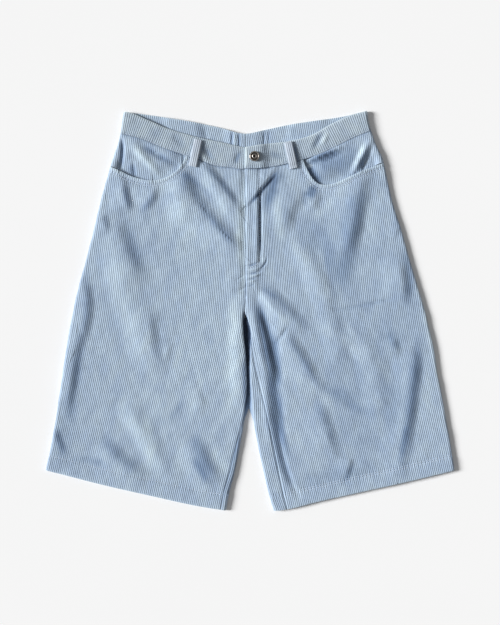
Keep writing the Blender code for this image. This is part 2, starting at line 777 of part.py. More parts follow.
def add_front_loop(side, cloth):
    """A folded strip over the waistband, bowed up a little in the middle and ending just below the seam."""
    loop = FRONT_LOOPS[side]
    along_x, along_y = loop.lower_x - loop.upper_x, loop.lower_y - loop.upper_y
    length = math.hypot(along_x, along_y)
    down = np.linspace(0, 1, LOOP_ROWS)[:, None]
    across = np.linspace(-0.5, 0.5, LOOP_COLUMNS)[None, :] * LOOP_WIDTH
    x = loop.upper_x + along_x * down - across * along_y / length
    y = loop.upper_y + along_y * down + across * along_x / length
    below = WAIST_SEAM[side](x) - y
    ground = BAND_TOP + (leg_top(x, y) - BAND_TOP) * ramp(below, *LOOP_STEP)
    bow = LOOP_ARCH * np.sin(math.pi * down) + LOOP_CROWN * (1 - (2 * across / LOOP_WIDTH) ** 2)
    points = np.stack([x, y, ground + 2 * GAP + LOOP_CLOTH + bow], axis=-1)
    add_wall(f"belt_loop_front_{side_name(side)}", points, np.array([0, 0, 1.0]), LOOP_CLOTH, cloth)


def add_back_loop(loop, cloth):
    """A flat strip under the back waistband, level with the underside."""
    down = np.linspace(0, 1, LOOP_ROWS)[:, None] * LOOP_LENGTH
    across = np.linspace(-0.5, 0.5, LOOP_COLUMNS)[None, :] * LOOP_WIDTH
    x = loop.x + across - loop.slant * down
    y = BACK_TOP_EDGE(loop.x) - BACK_LOOP_INSET - down + 0 * across
    points = np.stack([x, y, 0 * x], axis=-1)
    add_wall(loop.name, points, np.array([0, 0, -1.0]), BACK_LOOP_CLOTH, cloth)


def add_button(metal):
    """A turned shank button that rests on the lapped waistband."""
    x, y = BUTTON_CENTRE
    foot = BAND_TOP + BAND_LIFT + GAP
    points = []
    rings = []
    for radius, height in BUTTON_PROFILE:
        count = BUTTON_SEGMENTS if radius else 1
        rings.append(range(len(points), len(points) + count))
        for i in range(count):
            turn = 2 * math.pi * i / count
            points.append((x + radius * math.cos(turn), y + radius * math.sin(turn), foot + height))
    faces = []
    for ring, following in zip(rings, rings[1:]):
        for i in range(BUTTON_SEGMENTS):
            j = (i + 1) % BUTTON_SEGMENTS
            corners = [ring[i % len(ring)], ring[j % len(ring)]]
            corners += [following[j % len(following)], following[i % len(following)]]
            faces.append(list(dict.fromkeys(corners)))
    add_object("button", points, faces, metal)


def material(name, colour, roughness, metallic=0.0):
    made = bpy.data.materials.new(name)
    made.use_nodes = True
    shader = made.node_tree.nodes["Principled BSDF"]
    shader.inputs["Base Color"].default_value = (*colour, 1)
    shader.inputs["Roughness"].default_value = roughness
    shader.inputs["Metallic"].default_value = metallic
    return made


def build():
    for piece in list(bpy.data.objects):
        bpy.data.objects.remove(piece)

    def cloth(name):
        return material(name, CLOTH_COLOUR, CLOTH_ROUGHNESS)

    for side in (LEFT, RIGHT):
        add_back_panel(side, cloth(f"back corduroy {side_name(side)}"))
        add_pocket_facing(side, cloth(f"facing corduroy {side_name(side)}"))
        add_front_panel(side, cloth(f"front corduroy {side_name(side)}"))
        add_front_band(side, cloth(f"band corduroy {side_name(side)}"))
        add_front_loop(side, cloth(f"front loop corduroy {side_name(side)}"))
    add_back_band(cloth("back band corduroy"))
    for loop in BACK_LOOPS:
        add_back_loop(loop, cloth(f"{loop.name} corduroy"))
    add_button(material("antique metal", METAL_COLOUR, METAL_ROUGHNESS, 1.0))


build()
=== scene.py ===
"""Looks of the corduroy bermuda shorts, laid flat on their back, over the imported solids.

Every cut piece is a thin closed shell on its solid's form, with real wales on its outer face. The cloth is
laid out as in the part's source: y, and the way across a leg from its inner line outward, over the front or
underneath. A third coordinate, the wale, counts cords outward, so that lines of equal wale run along the
grain and are cut off by the seams as in real cloth. All sizes are metres in the part's frame.
"""

import math
from collections import namedtuple

import bpy
import numpy as np
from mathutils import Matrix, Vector
from mathutils.bvhtree import BVHTree


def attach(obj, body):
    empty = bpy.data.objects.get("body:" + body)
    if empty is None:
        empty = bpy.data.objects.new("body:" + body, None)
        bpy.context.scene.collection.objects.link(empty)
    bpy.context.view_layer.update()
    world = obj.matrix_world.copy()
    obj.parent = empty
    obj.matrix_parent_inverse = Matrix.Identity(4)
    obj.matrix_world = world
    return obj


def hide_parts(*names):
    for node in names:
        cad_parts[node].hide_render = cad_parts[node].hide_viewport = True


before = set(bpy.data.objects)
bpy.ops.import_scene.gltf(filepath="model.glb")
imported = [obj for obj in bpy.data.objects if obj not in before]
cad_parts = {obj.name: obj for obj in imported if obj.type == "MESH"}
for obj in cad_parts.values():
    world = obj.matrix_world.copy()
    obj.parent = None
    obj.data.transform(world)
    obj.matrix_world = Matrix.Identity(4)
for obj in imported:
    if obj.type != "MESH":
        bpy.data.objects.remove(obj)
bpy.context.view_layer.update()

LEFT, RIGHT = SIDES = -1, 1
SIDE_NAMES = {LEFT: "left", RIGHT: "right"}
FRONT, BACK = 1, -1

# Cloth
CLOTH = 0.0016
HEM_CLOTH = 0.0026
BAND_CLOTH = 0.0030
LOOP_CLOTH = 0.0020
BACK_LOOP_CLOTH = 0.0016
GAP = 0.0003
MIDDLE_GAP = 0.00002
INCH, WALES_PER_INCH = 0.0254, 8
PITCH = INCH / WALES_PER_INCH
WALE_DEPTH = 0.00060
WALE_ROUNDNESS = 0.6

# Heights of the front's outer face above the surface
LEG_TOP = 0.0066
BAND_TOP = 0.0085
LEAST_TOP = 2 * CLOTH + 2 * GAP
POCKET_RISE = 0.0013
CENTRE_RISE = 0.0008
HEM_RISE = 0.0006
SOFTNESS = 0.0005

# The rolled sides
SIDE_REACH = 0.0050
SIDE_QUARTER = 0.0068
CROTCH_OPEN_Y = 0.003
CROTCH_CLOSED_Y = -0.020
TUCK_OVERLAP, TUCK_REACH = 0.0006, 0.030
TUCK_END_Y, TUCK_FULL_Y = -0.190, -0.150

# Waistband, hems and loops
HEM_DEPTH = 0.026
HEM_FADE = 0.006
BAND_DEPTH = 0.034
LOOP_WIDTH = 0.014
LOOP_LENGTH = 0.044
LOOP_ARCH, LOOP_CROWN = 0.0017, 0.0007
BACK_LOOP_INSET = 0.002
LOOP_STEP = (0.001, 0.007)
BRIDGE_BESIDE, BRIDGE_REACH = 0.012, 0.030

# Fly
FLY_WIDTH = 0.0165
BAND_UNDERLAP, BAND_LAP_WIDTH = 0.022, 0.025
FLY_END_Y = 0.042
FLY_RUN_OUT = 0.024
FLY_LIFT, FLY_DIP = 0.0010, 0.0015
FLY_FADE = 0.007
DIP_START, DIP_FULL = 0.012, 0.002
BAND_LIFT, BAND_DIP = 0.0033, 0.0002
BAND_FADE = 0.016
CENTRE_X = -0.0075

# Pockets
FACING_OVERLAP = 0.012
FACING_DROP = CLOTH + 3 * GAP
FACING_HOLLOW = 0.0013
FACING_FOLDS_START = (0.001, 0.004)
MOUTH_DROP_FULL, MOUTH_DROP_END = 0.004, 0.026
WELT_RISE, WELT_FULL, WELT_END = 0.0005, 0.0040, 0.0065
SIDE_DROP_START, SIDE_DROP_FULL = 0.006, 0.018
OVERLAP_START, OVERLAP_FULL = 0.016, 0.045

# Button
BUTTON_CENTRE = (0.0075, 0.254)
BUTTON_RADIUS = 0.0085
BUTTON_SEGMENTS = 64

# Meshes: the columns of one wale, the range of wales, the heights at which each wale is followed, the
# shortest row and line, and the steps for finding the grain, a normal and a waistband's slope
WALE_COLUMNS = (0.0, 0.13, 0.30, 0.5, 0.70, 0.87)
BACK_WALE_COLUMNS = (0.0, 0.2, 0.5, 0.8)
WALE_RANGE = (-30, 110)
HIGHEST, LOWEST, SAMPLE = 0.342, -0.345, 0.0006
HEIGHTS = np.arange(HIGHEST, LOWEST, -SAMPLE)
LEAST_ROW = 0.0002
LEAST_SAMPLES = 3
GRAIN_STEPS = 14
NORMAL_STEP = 0.0002
BAND_SLOPE_REACH = 0.018
SHARP = math.radians(60)

# The cloth's surface
EDGE_RELIEF, EDGE_FLATTENING = 0.4, 0.0016
STITCH_DEPTH, STITCH_REACH = 0.0004, 0.0016
PUCKER_DEPTH, PUCKER_REACH, PUCKER_LENGTH = 0.0003, 0.0060, 0.0052
RUMPLE_DEPTH = 0.0007

# Rows of stitches. Those over a hem, one on the left and two on the right, lie this far above its edge and
# end just inside the leg, whose width is taken at one height. A waistband's row runs from beside the middle
# to the side, and the two rows of a pocket mouth lie this far in from its edge.
STITCHING_POINTS = 40
HEM_STITCHES = {LEFT: (0.0260,), RIGHT: (0.0235, 0.0270)}
HEM_STITCHES_Y, HEM_STITCHES_INSET = -0.300, (0.004, 0.002)
BAND_STITCH_RISE, BAND_STITCHES_ENDS = 0.0022, (0.003, 0.205)
MOUTH_STITCHES, MOUTH_POINTS_APART = (0.0055, 0.0095), 0.006
STITCH_APART, STITCH_LENGTH = 0.0032, 0.0027
THREAD_RADIUS, THREAD_SIDES = 0.00030, 6
FLY_STITCHES = (
    (0.0157, 0.234), (0.0157, 0.160), (0.0157, 0.087), (0.0140, 0.080), (0.0099, 0.0755), (0.0, 0.071),
)

# Reach of the painted shade and wear at turned edges; how much lighter the pocket mouth's rolled edge is, by
# wear and painted highlight, and over what distance; and how much deeper the stitch rows' grooves are, by
# painted shade
EDGE_SHADE_AND_WEAR_REACH = 0.0035
WELT_LIGHT_AND_WEAR, WELT_LIGHT_AND_WEAR_REACH = 1.0, 0.0065
STITCH_GROOVE_SHADE = -0.15
# Heights over which the shades of upward faces set in, and over which those of the slit set in and end
FACING_UP = (0.0012, 0.0026)
BESIDE_FLOOR = (0.0002, 0.0010)
SLIT_WALL = (0.0036, 0.0058)

# Belt loops: their mesh, cords and rounded edges
LOOP_ROWS = 24
LOOP_COLUMNS = np.linspace(-1, 1, 29)
LOOP_PITCH = 0.0032
LOOP_ROUNDING, LOOP_ROUNDING_REACH = 0.0008, 0.0014

# Colours as red, green, blue and opacity; the furrows' are deeper than the crests', partly as painted shade
# in the furrows. DEEP, SUNKEN and LIGHTEST are what the cloth's colour is multiplied by at -1 of painted
# shade, at -2 of deep painted shade and shadow, and at 1 of painted light and wear
CREST, FURROW = (0.392, 0.490, 0.614, 1), (0.342, 0.434, 0.552, 1)
BAND_CREST, BAND_FURROW = (0.400, 0.482, 0.568, 1), (0.345, 0.425, 0.510, 1)
LOOP_CREST, LOOP_FURROW = (0.52, 0.585, 0.67, 1), (0.30, 0.36, 0.44, 1)
DEEP, SUNKEN, LIGHTEST = (0.48, 0.55, 0.66, 1), (0.05, 0.07, 0.11, 1), (1.33, 1.30, 1.20, 1)
# Where the nap lies one way or the other, the colour drifts a little to violet or to green
NAP_DOWN, NAP_UP = (0.925, 0.940, 0.968, 1), (1.070, 1.062, 1.030, 1)
THREAD = (0.62, 0.70, 0.80, 1)
METAL_DARK, METAL_LIGHT = (0.06, 0.052, 0.046, 1), (0.50, 0.46, 0.42, 1)
FLOOR_TONE, FLOOR_UNEVENNESS = 0.915, 0.003

# The power of the cords' profile with which their colour goes from the furrow's, partly painted shade, to
# the crest's
CREST_TONE_ROUNDNESS = 0.8

# Noises of the materials: how they are stretched and scaled, and the range between low and high of their
# values that is spread from least to most
Noise = namedtuple("Noise", "stretch scale detail low high least most")
PLAIN = (1, 1, 1)
STREAKS = Noise((1.6, 0.22, 1), 1.0, 4.0, 0.3, 0.7, 0.88, 1.12)
NAP = Noise((0.17, 0.08, 1), 1.0, 5.0, 0.36, 0.64, 0.0, 1.0)
FIBRES = Noise((9, 3.5, 1), 1.0, 5.0, 0.3, 0.7, 0.93, 1.07)
TWIST = Noise(PLAIN, 2500, 2.0, 0.3, 0.7, 0.85, 1.15)
BLOTCHES = Noise(PLAIN, 700, 4.0, 0.3, 0.6, 0.35, 1.0)
BLOTCH_ROUGHNESS = (0.3, 0.7, 0.28, 0.5)
FLOOR_MOTTLE = Noise(PLAIN, 3, 2.0, 0.3, 0.7, FLOOR_TONE - FLOOR_UNEVENNESS, FLOOR_TONE + FLOOR_UNEVENNESS)

# The strength and the depth in metres of the small relief, and the finishes
FIBRE_RELIEF, THREAD_RELIEF, METAL_RELIEF = (0.5, 0.00025), (0.6, 0.0001), (0.25, 0.0002)
CLOTH_FINISH = {"Roughness": 0.95, "Sheen Weight": 0.25, "Sheen Roughness": 0.5, "Specular IOR Level": 0.15}
THREAD_FINISH = {"Roughness": 0.8, "Specular IOR Level": 0.3}
FLOOR_FINISH = {"Roughness": 0.9, "Specular IOR Level": 0.0}

# The button's rings that are rubbed bright, in shares of its radius: where each starts and is full, and
# where it begins to fade and ends
Ring = namedtuple("Ring", "start full fading end")
INNER_RING, OUTER_RING = Ring(0.24, 0.32, 0.44, 0.55), Ring(0.70, 0.80, 0.93, 1.0)

# The sockets by which a mix node takes and gives colours
MIX_FIRST, MIX_SECOND, MIX_RESULT = 6, 7, 2

# Floor, light and camera, with angles in degrees
FLOOR_SIZE = 8.0
FLOOR_DROP = 0.0001
AMBIENT = 0.25
KEY_STRENGTH, KEY_SPREAD = 5.60, 20
KEY_AZIMUTH, KEY_ELEVATION, QUARTER_TURN = 176, 25, 90
CAMERA_LENS, CAMERA_SENSOR = 85, 36
CAMERA_Y = -0.0025
VIEW_HEIGHT = 1.031


def table(kind, *rows):
    """A table's rows as named values."""
    return tuple(kind(*row) for row in rows)


# Where the outer and inner outlines of the left and the right leg lie, as a place x for a height y
Section = namedtuple("Section", "y out_left in_left in_right out_right")
SECTIONS = table(
    Section,
    (0.330, -0.208, -0.008, -0.008, 0.194),
    (0.315, -0.211, -0.008, -0.008, 0.195),
    (0.300, -0.213, -0.008, -0.008, 0.199),
    (0.280, -0.217, -0.008, -0.008, 0.206),
    (0.250, -0.227, -0.008, -0.008, 0.219),
    (0.220, -0.236, -0.008, -0.008, 0.226),
    (0.180, -0.247, -0.007, -0.007, 0.235),
    (0.130, -0.259, -0.007, -0.007, 0.251),
    (0.080, -0.272, -0.007, -0.007, 0.265),
    (0.040, -0.283, -0.007, -0.007, 0.277),
    (0.020, -0.288, -0.0075, -0.0075, 0.283),
    (0.000, -0.292, -0.0100, -0.0088, 0.289),
    (-0.030, -0.298, -0.0105, -0.001, 0.296),
    (-0.060, -0.303, -0.007, -0.001, 0.303),
    (-0.100, -0.309, -0.0045, -0.001, 0.309),
    (-0.140, -0.315, -0.0045, 0.001, 0.317),
    (-0.180, -0.321, -0.009, 0.005, 0.324),
    (-0.220, -0.328, -0.016, 0.012, 0.331),
    (-0.262, -0.337, -0.024, 0.021, 0.337),
    (-0.300, -0.344, -0.034, 0.030, 0.342),
    (-0.332, -0.349, -0.040, 0.039, 0.347),
)

# How far the inseam lies on top of each leg, measured over the rolled edge
Inseam = namedtuple("Inseam", "y left right")
INSEAMS = table(
    Inseam,
    (0.030, 0.0000, 0.0000), (-0.010, 0.0000, 0.0005), (-0.045, 0.0000, 0.0035), (-0.080, 0.0000, 0.0090),
    (-0.110, 0.0003, 0.0150), (-0.145, 0.0015, 0.0215), (-0.180, 0.0040, 0.0260), (-0.215, 0.0080, 0.0275),
    (-0.255, 0.0105, 0.0270), (-0.340, 0.0110, 0.0250),
)

# How far outward the grain has gone from its place at the crotch
Grain = namedtuple("Grain", "y lean")
GRAIN = table(
    Grain,
    (0.340, -0.0445), (0.200, -0.0280), (0.100, -0.0150), (-0.020, 0.0000), (-0.120, 0.0200),
    (-0.220, 0.0415), (-0.345, 0.0690),
)
GRAIN_CENTRE, GRAIN_CENTRE_REACH = 0.35, 0.09
CROTCH_Y = -0.020
CROTCH_TOP_Y = 0.030

# Edges that run across the garment, each as a height y for a place x
Level = namedtuple("Level", "x y")
BAND_UPPER = {
    LEFT: table(
        Level,
        (-0.212, 0.3285), (-0.200, 0.327), (-0.170, 0.315), (-0.132, 0.299), (-0.099, 0.289),
        (-0.046, 0.277), (-0.008, 0.269), (0.020, 0.266),
    ),
    RIGHT: table(
        Level,
        (-0.010, 0.269), (0.020, 0.274), (0.066, 0.280), (0.102, 0.290), (0.132, 0.307), (0.165, 0.322),
        (0.196, 0.330),
    ),
}
BAND_LOWER = {
    LEFT: table(
        Level,
        (-0.216, 0.292), (-0.186, 0.285), (-0.140, 0.267), (-0.106, 0.256), (-0.082, 0.248),
        (-0.058, 0.239), (-0.033, 0.236), (-0.009, 0.234), (0.000, 0.238), (0.020, 0.238),
    ),
    RIGHT: table(
        Level,
        (-0.010, 0.234), (0.020, 0.235), (0.056, 0.241), (0.087, 0.249), (0.124, 0.262), (0.144, 0.272),
        (0.182, 0.290), (0.203, 0.298),
    ),
}
BACK_UPPER = table(
    Level,
    (-0.212, 0.3285), (-0.200, 0.327), (-0.148, 0.320), (-0.099, 0.312), (-0.050, 0.302), (-0.010, 0.292),
    (0.028, 0.299), (0.066, 0.307), (0.099, 0.312), (0.157, 0.321), (0.196, 0.330),
)
BACK_LOWER = table(
    Level,
    (-0.216, 0.292), (-0.186, 0.290), (-0.148, 0.286), (-0.099, 0.278), (-0.050, 0.268), (-0.010, 0.258),
    (0.028, 0.265), (0.066, 0.273), (0.099, 0.278), (0.157, 0.289), (0.203, 0.298),
)
POCKET_MOUTH = {
    LEFT: table(
        Level,
        (-0.236, 0.240), (-0.214, 0.231), (-0.198, 0.223), (-0.182, 0.218), (-0.166, 0.215),
        (-0.151, 0.216), (-0.138, 0.220), (-0.128, 0.226), (-0.119, 0.234), (-0.111, 0.244),
        (-0.105, 0.256),
    ),
    RIGHT: table(
        Level,
        (0.087, 0.249), (0.092, 0.238), (0.098, 0.226), (0.104, 0.217), (0.112, 0.210), (0.122, 0.208),
        (0.134, 0.209), (0.148, 0.214), (0.165, 0.222), (0.190, 0.233), (0.205, 0.2385), (0.226, 0.246),
    ),
}
HEM = {
    LEFT: table(
        Level,
        (-0.350, -0.259), (-0.314, -0.268), (-0.248, -0.285), (-0.165, -0.304), (-0.082, -0.322),
        (-0.024, -0.331),
    ),
    RIGHT: table(
        Level,
        (0.024, -0.331), (0.058, -0.327), (0.116, -0.313), (0.165, -0.302), (0.264, -0.280),
        (0.350, -0.259),
    ),
}

# Folds. Each runs from point 0 past point 1 to point 2 and stands up by its height, or down where that is
# negative. left and right are its widths on the two sides of its line, seen from its start to its end,
# sharp says how pointed it is, 0 to 1, and start and end how much of the height it has at its ends.
Fold = namedtuple("Fold", "x0 y0 x1 y1 x2 y2 height left right sharp start end")
FOLDS = table(
    Fold,
    # left leg, from the waist down
    (-0.075, 0.239, -0.054, 0.201, -0.010, 0.149, 0.0017, 0.018, 0.018, 0.2, 0.5, 0.1),
    (-0.073, 0.237, -0.048, 0.205, -0.015, 0.159, 0.0030, 0.014, 0.035, 0.3, 0.7, 0.3),
    (-0.111, 0.226, -0.098, 0.186, -0.059, 0.142, 0.0038, 0.023, 0.055, 0.1, 0.5, 0.5),
    (-0.067, 0.156, -0.042, 0.127, -0.014, 0.096, 0.0034, 0.017, 0.041, 0.3, 0.4, 0.2),
    (-0.116, 0.212, -0.114, 0.176, -0.104, 0.133, 0.0025, 0.028, 0.028, 0.0, 0.5, 0.0),
    (-0.159, 0.205, -0.163, 0.186, -0.183, 0.166, 0.0032, 0.013, 0.033, 0.2, 0.4, 0.0),
    (-0.214, 0.218, -0.207, 0.188, -0.197, 0.160, 0.0036, 0.014, 0.035, 0.2, 0.5, 0.0),
    (-0.247, 0.164, -0.242, 0.145, -0.233, 0.126, 0.0024, 0.013, 0.032, 0.0, 0.0, 0.0),
    (-0.232, 0.163, -0.208, 0.095, -0.166, 0.034, 0.0036, 0.026, 0.062, 0.1, 0.2, 0.0),
    (-0.232, 0.124, -0.204, 0.028, -0.160, -0.107, 0.0018, 0.036, 0.036, 0.0, 0.0, 0.0),
    (-0.156, 0.010, -0.166, -0.038, -0.146, -0.122, 0.0028, 0.020, 0.045, 0.1, 0.0, 0.0),
    (-0.132, -0.047, -0.138, -0.071, -0.147, -0.093, 0.0014, 0.011, 0.026, 0.1, 0.0, 0.0),
    (-0.279, 0.058, -0.269, 0.000, -0.286, -0.061, 0.0031, 0.015, 0.036, 0.2, 0.0, 0.5),
    (-0.286, -0.044, -0.295, -0.110, -0.306, -0.181, 0.0030, 0.014, 0.035, 0.2, 0.4, 0.0),
    (-0.325, -0.189, -0.318, -0.214, -0.308, -0.236, 0.0022, 0.012, 0.029, 0.1, 0.0, 0.2),
    (-0.208, -0.144, -0.179, -0.198, -0.134, -0.272, 0.0025, 0.026, 0.026, 0.0, 0.0, 0.3),
    (-0.244, -0.213, -0.212, -0.247, -0.161, -0.277, 0.0038, 0.020, 0.046, 0.2, 0.0, 0.1),
    (-0.087, -0.208, -0.075, -0.247, -0.048, -0.286, 0.0032, 0.020, 0.044, 0.1, 0.0, 0.3),
    (-0.091, -0.126, -0.083, -0.144, -0.069, -0.162, 0.0013, 0.011, 0.028, 0.2, 0.0, 0.0),
    (-0.022, 0.008, -0.019, -0.072, -0.018, -0.180, 0.0017, 0.019, 0.019, 0.0, 0.0, 0.0),
    # right leg
    (0.0115, 0.192, 0.0115, 0.140, 0.0115, 0.080, 0.0012, 0.005, 0.009, 0.2, 0.6, 0.4),
    (0.0165, 0.200, 0.0165, 0.140, 0.0165, 0.080, -0.0022, 0.006, 0.002, 0.4, 0.9, 0.3),
    (0.041, 0.236, 0.018, 0.206, -0.006, 0.176, 0.0024, 0.007, 0.020, 0.3, 0.4, 0.5),
    (0.093, 0.199, 0.061, 0.168, 0.059, 0.123, 0.0038, 0.021, 0.052, 0.0, 0.1, 0.0),
    (0.098, 0.203, 0.107, 0.185, 0.088, 0.165, 0.0020, 0.013, 0.032, 0.1, 0.2, 0.0),
    (0.182, 0.220, 0.168, 0.150, 0.146, 0.047, 0.0034, 0.026, 0.052, 0.1, 0.8, 0.0),
    (0.174, 0.205, 0.169, 0.146, 0.149, 0.079, 0.0017, 0.021, 0.021, 0.0, 0.2, 0.0),
    (0.092, 0.085, 0.122, 0.044, 0.144, 0.024, 0.0010, 0.015, 0.036, 0.2, 0.0, 0.2),
    (0.057, 0.108, 0.100, 0.071, 0.129, -0.012, 0.0025, 0.026, 0.026, 0.0, 0.0, 0.3),
    (0.126, 0.002, 0.140, -0.054, 0.152, -0.106, 0.0024, 0.027, 0.027, 0.0, 0.3, 0.0),
    (0.138, 0.001, 0.188, 0.009, 0.247, 0.024, -0.0014, 0.006, 0.004, 0.6, 0.5, 0.1),
    (0.237, 0.098, 0.248, 0.050, 0.250, 0.003, 0.0032, 0.018, 0.045, 0.1, 0.0, 0.0),
    (0.242, 0.141, 0.239, 0.130, 0.234, 0.117, 0.0011, 0.008, 0.017, 0.3, 0.0, 0.0),
    (0.016, 0.032, 0.039, 0.006, 0.069, -0.024, 0.0013, 0.014, 0.014, 0.1, 0.3, 0.0),
    (0.014, 0.034, 0.052, 0.009, 0.100, -0.048, 0.0034, 0.017, 0.041, 0.1, 0.0, 0.0),
    (0.051, -0.035, 0.081, -0.074, 0.126, -0.146, 0.0036, 0.018, 0.042, 0.2, 0.3, 0.0),
    (0.063, -0.024, 0.053, -0.040, 0.039, -0.056, -0.0013, 0.006, 0.006, 0.3, 0.1, 0.1),
    (0.010, 0.024, 0.032, -0.040, 0.046, -0.118, -0.0032, 0.018, 0.010, 0.4, 0.3, 0.0),
    (0.002, 0.018, 0.013, -0.045, 0.027, -0.118, 0.0017, 0.009, 0.010, 0.1, 0.2, 0.0),
    (0.041, -0.068, 0.045, -0.150, 0.051, -0.225, -0.0024, 0.017, 0.011, 0.4, 0.0, 0.0),
    (0.021, -0.070, 0.028, -0.147, 0.033, -0.225, 0.0016, 0.010, 0.012, 0.1, 0.0, 0.2),
    (0.045, -0.172, 0.056, -0.245, 0.080, -0.305, -0.0022, 0.008, 0.010, 0.4, 0.0, 0.3),
    (0.269, -0.045, 0.264, -0.135, 0.244, -0.272, 0.0037, 0.018, 0.043, 0.1, 0.0, 0.3),
    (0.153, -0.026, 0.181, -0.052, 0.207, -0.082, 0.0014, 0.020, 0.042, 0.0, 0.0, 0.0),
    (0.229, -0.042, 0.236, -0.060, 0.242, -0.080, 0.0021, 0.014, 0.035, 0.0, 0.0, 0.0),
    (0.110, -0.150, 0.124, -0.198, 0.139, -0.250, 0.0026, 0.020, 0.046, 0.1, 0.0, 0.0),
    (0.165, -0.239, 0.161, -0.255, 0.155, -0.273, 0.0019, 0.010, 0.025, 0.2, 0.0, 0.3),
    (0.181, -0.028, 0.207, -0.112, 0.215, -0.213, 0.0025, 0.032, 0.032, 0.0, 0.0, 0.0),
    # puckers at the end of the fly and in the crotch
    (-0.006, 0.074, 0.006, 0.077, 0.014, 0.080, -0.0012, 0.003, 0.003, 0.5, 0.4, 0.4),
    (-0.005, 0.067, 0.008, 0.069, 0.021, 0.073, 0.0011, 0.003, 0.003, 0.2, 0.3, 0.2),
    (-0.004, 0.061, 0.010, 0.063, 0.021, 0.068, -0.0011, 0.003, 0.003, 0.4, 0.4, 0.2),
    (-0.004, 0.057, 0.008, 0.058, 0.019, 0.063, 0.0011, 0.003, 0.003, 0.2, 0.4, 0.0),
    (-0.003, 0.052, 0.004, 0.0525, 0.012, 0.054, -0.0010, 0.003, 0.003, 0.4, 0.4, 0.0),
    (-0.003, 0.048, 0.003, 0.049, 0.009, 0.0505, 0.0010, 0.003, 0.003, 0.2, 0.4, 0.0),
    (-0.002, 0.041, 0.003, 0.042, 0.009, 0.044, -0.0009, 0.003, 0.003, 0.4, 0.4, 0.0),
    (0.028, 0.087, 0.024, 0.076, 0.015, 0.069, -0.0014, 0.003, 0.004, 0.5, 0.4, 0.0),
    (-0.009, 0.060, -0.017, 0.054, -0.029, 0.050, -0.0007, 0.004, 0.004, 0.4, 0.4, 0.0),
    (-0.009, 0.038, -0.018, 0.034, -0.030, 0.034, -0.0007, 0.004, 0.004, 0.4, 0.4, 0.0),
)
FACING_FOLDS = table(
    Fold,
    (-0.180, 0.279, -0.155, 0.260, -0.118, 0.240, -0.0020, 0.008, 0.009, 0.4, 0.3, 0.3),
    (-0.199, 0.278, -0.173, 0.251, -0.145, 0.218, 0.0024, 0.011, 0.011, 0.1, 0.2, 0.3),
    (-0.212, 0.286, -0.209, 0.262, -0.214, 0.236, -0.0027, 0.006, 0.007, 0.6, 0.4, 0.6),
    (-0.193, 0.249, -0.191, 0.236, -0.191, 0.222, -0.0014, 0.006, 0.006, 0.3, 0.0, 0.5),
    (0.089, 0.244, 0.122, 0.258, 0.157, 0.272, 0.0029, 0.007, 0.005, 0.0, 0.7, 0.2),
    (0.096, 0.238, 0.129, 0.249, 0.159, 0.263, -0.0017, 0.005, 0.009, 0.4, 0.6, 0.1),
    (0.197, 0.278, 0.183, 0.253, 0.168, 0.222, 0.0029, 0.008, 0.009, 0.1, 0.4, 0.5),
    (0.201, 0.268, 0.191, 0.246, 0.182, 0.228, -0.0024, 0.006, 0.005, 0.5, 0.3, 0.5),
)
BAND_FOLDS = table(
    Fold,
    (-0.081, 0.262, -0.076, 0.253, -0.068, 0.244, 0.0012, 0.005, 0.004, 0.2, 0.3, 0.2),
    (-0.076, 0.268, -0.069, 0.258, -0.060, 0.246, -0.0012, 0.005, 0.006, 0.2, 0.0, 0.0),
    (-0.019, 0.262, -0.022, 0.252, -0.026, 0.243, -0.0010, 0.006, 0.006, 0.2, 0.0, 0.2),
    (0.118, 0.290, 0.112, 0.279, 0.103, 0.266, -0.0012, 0.007, 0.007, 0.1, 0.0, 0.2),
    (0.128, 0.295, 0.124, 0.284, 0.117, 0.272, 0.0010, 0.006, 0.006, 0.1, 0.2, 0.0),
    (-0.128, 0.292, -0.120, 0.282, -0.108, 0.268, -0.0008, 0.008, 0.008, 0.1, 0.0, 0.2),
)
# Puckers of the back waistband's inner face, beside its middle seam
BACK_BAND_FOLDS = table(
    Fold,
    (-0.030, 0.296, -0.030, 0.282, -0.031, 0.266, -0.0011, 0.003, 0.003, 0.4, 0.2, 0.8),
    (-0.025, 0.296, -0.025, 0.282, -0.025, 0.266, 0.0007, 0.003, 0.003, 0.2, 0.2, 0.6),
    (-0.019, 0.294, -0.018, 0.281, -0.018, 0.264, -0.0012, 0.003, 0.003, 0.4, 0.4, 0.8),
    (0.023, 0.294, 0.023, 0.284, 0.022, 0.268, -0.0010, 0.003, 0.003, 0.4, 0.0, 0.8),
    (0.032, 0.297, 0.031, 0.285, 0.031, 0.268, -0.0008, 0.003, 0.003, 0.4, 0.0, 0.8),
    (-0.075, 0.303, -0.073, 0.292, -0.070, 0.280, -0.0006, 0.007, 0.007, 0.1, 0.0, 0.5),
    (0.075, 0.304, 0.074, 0.294, 0.072, 0.282, -0.0005, 0.007, 0.007, 0.1, 0.0, 0.5),
)
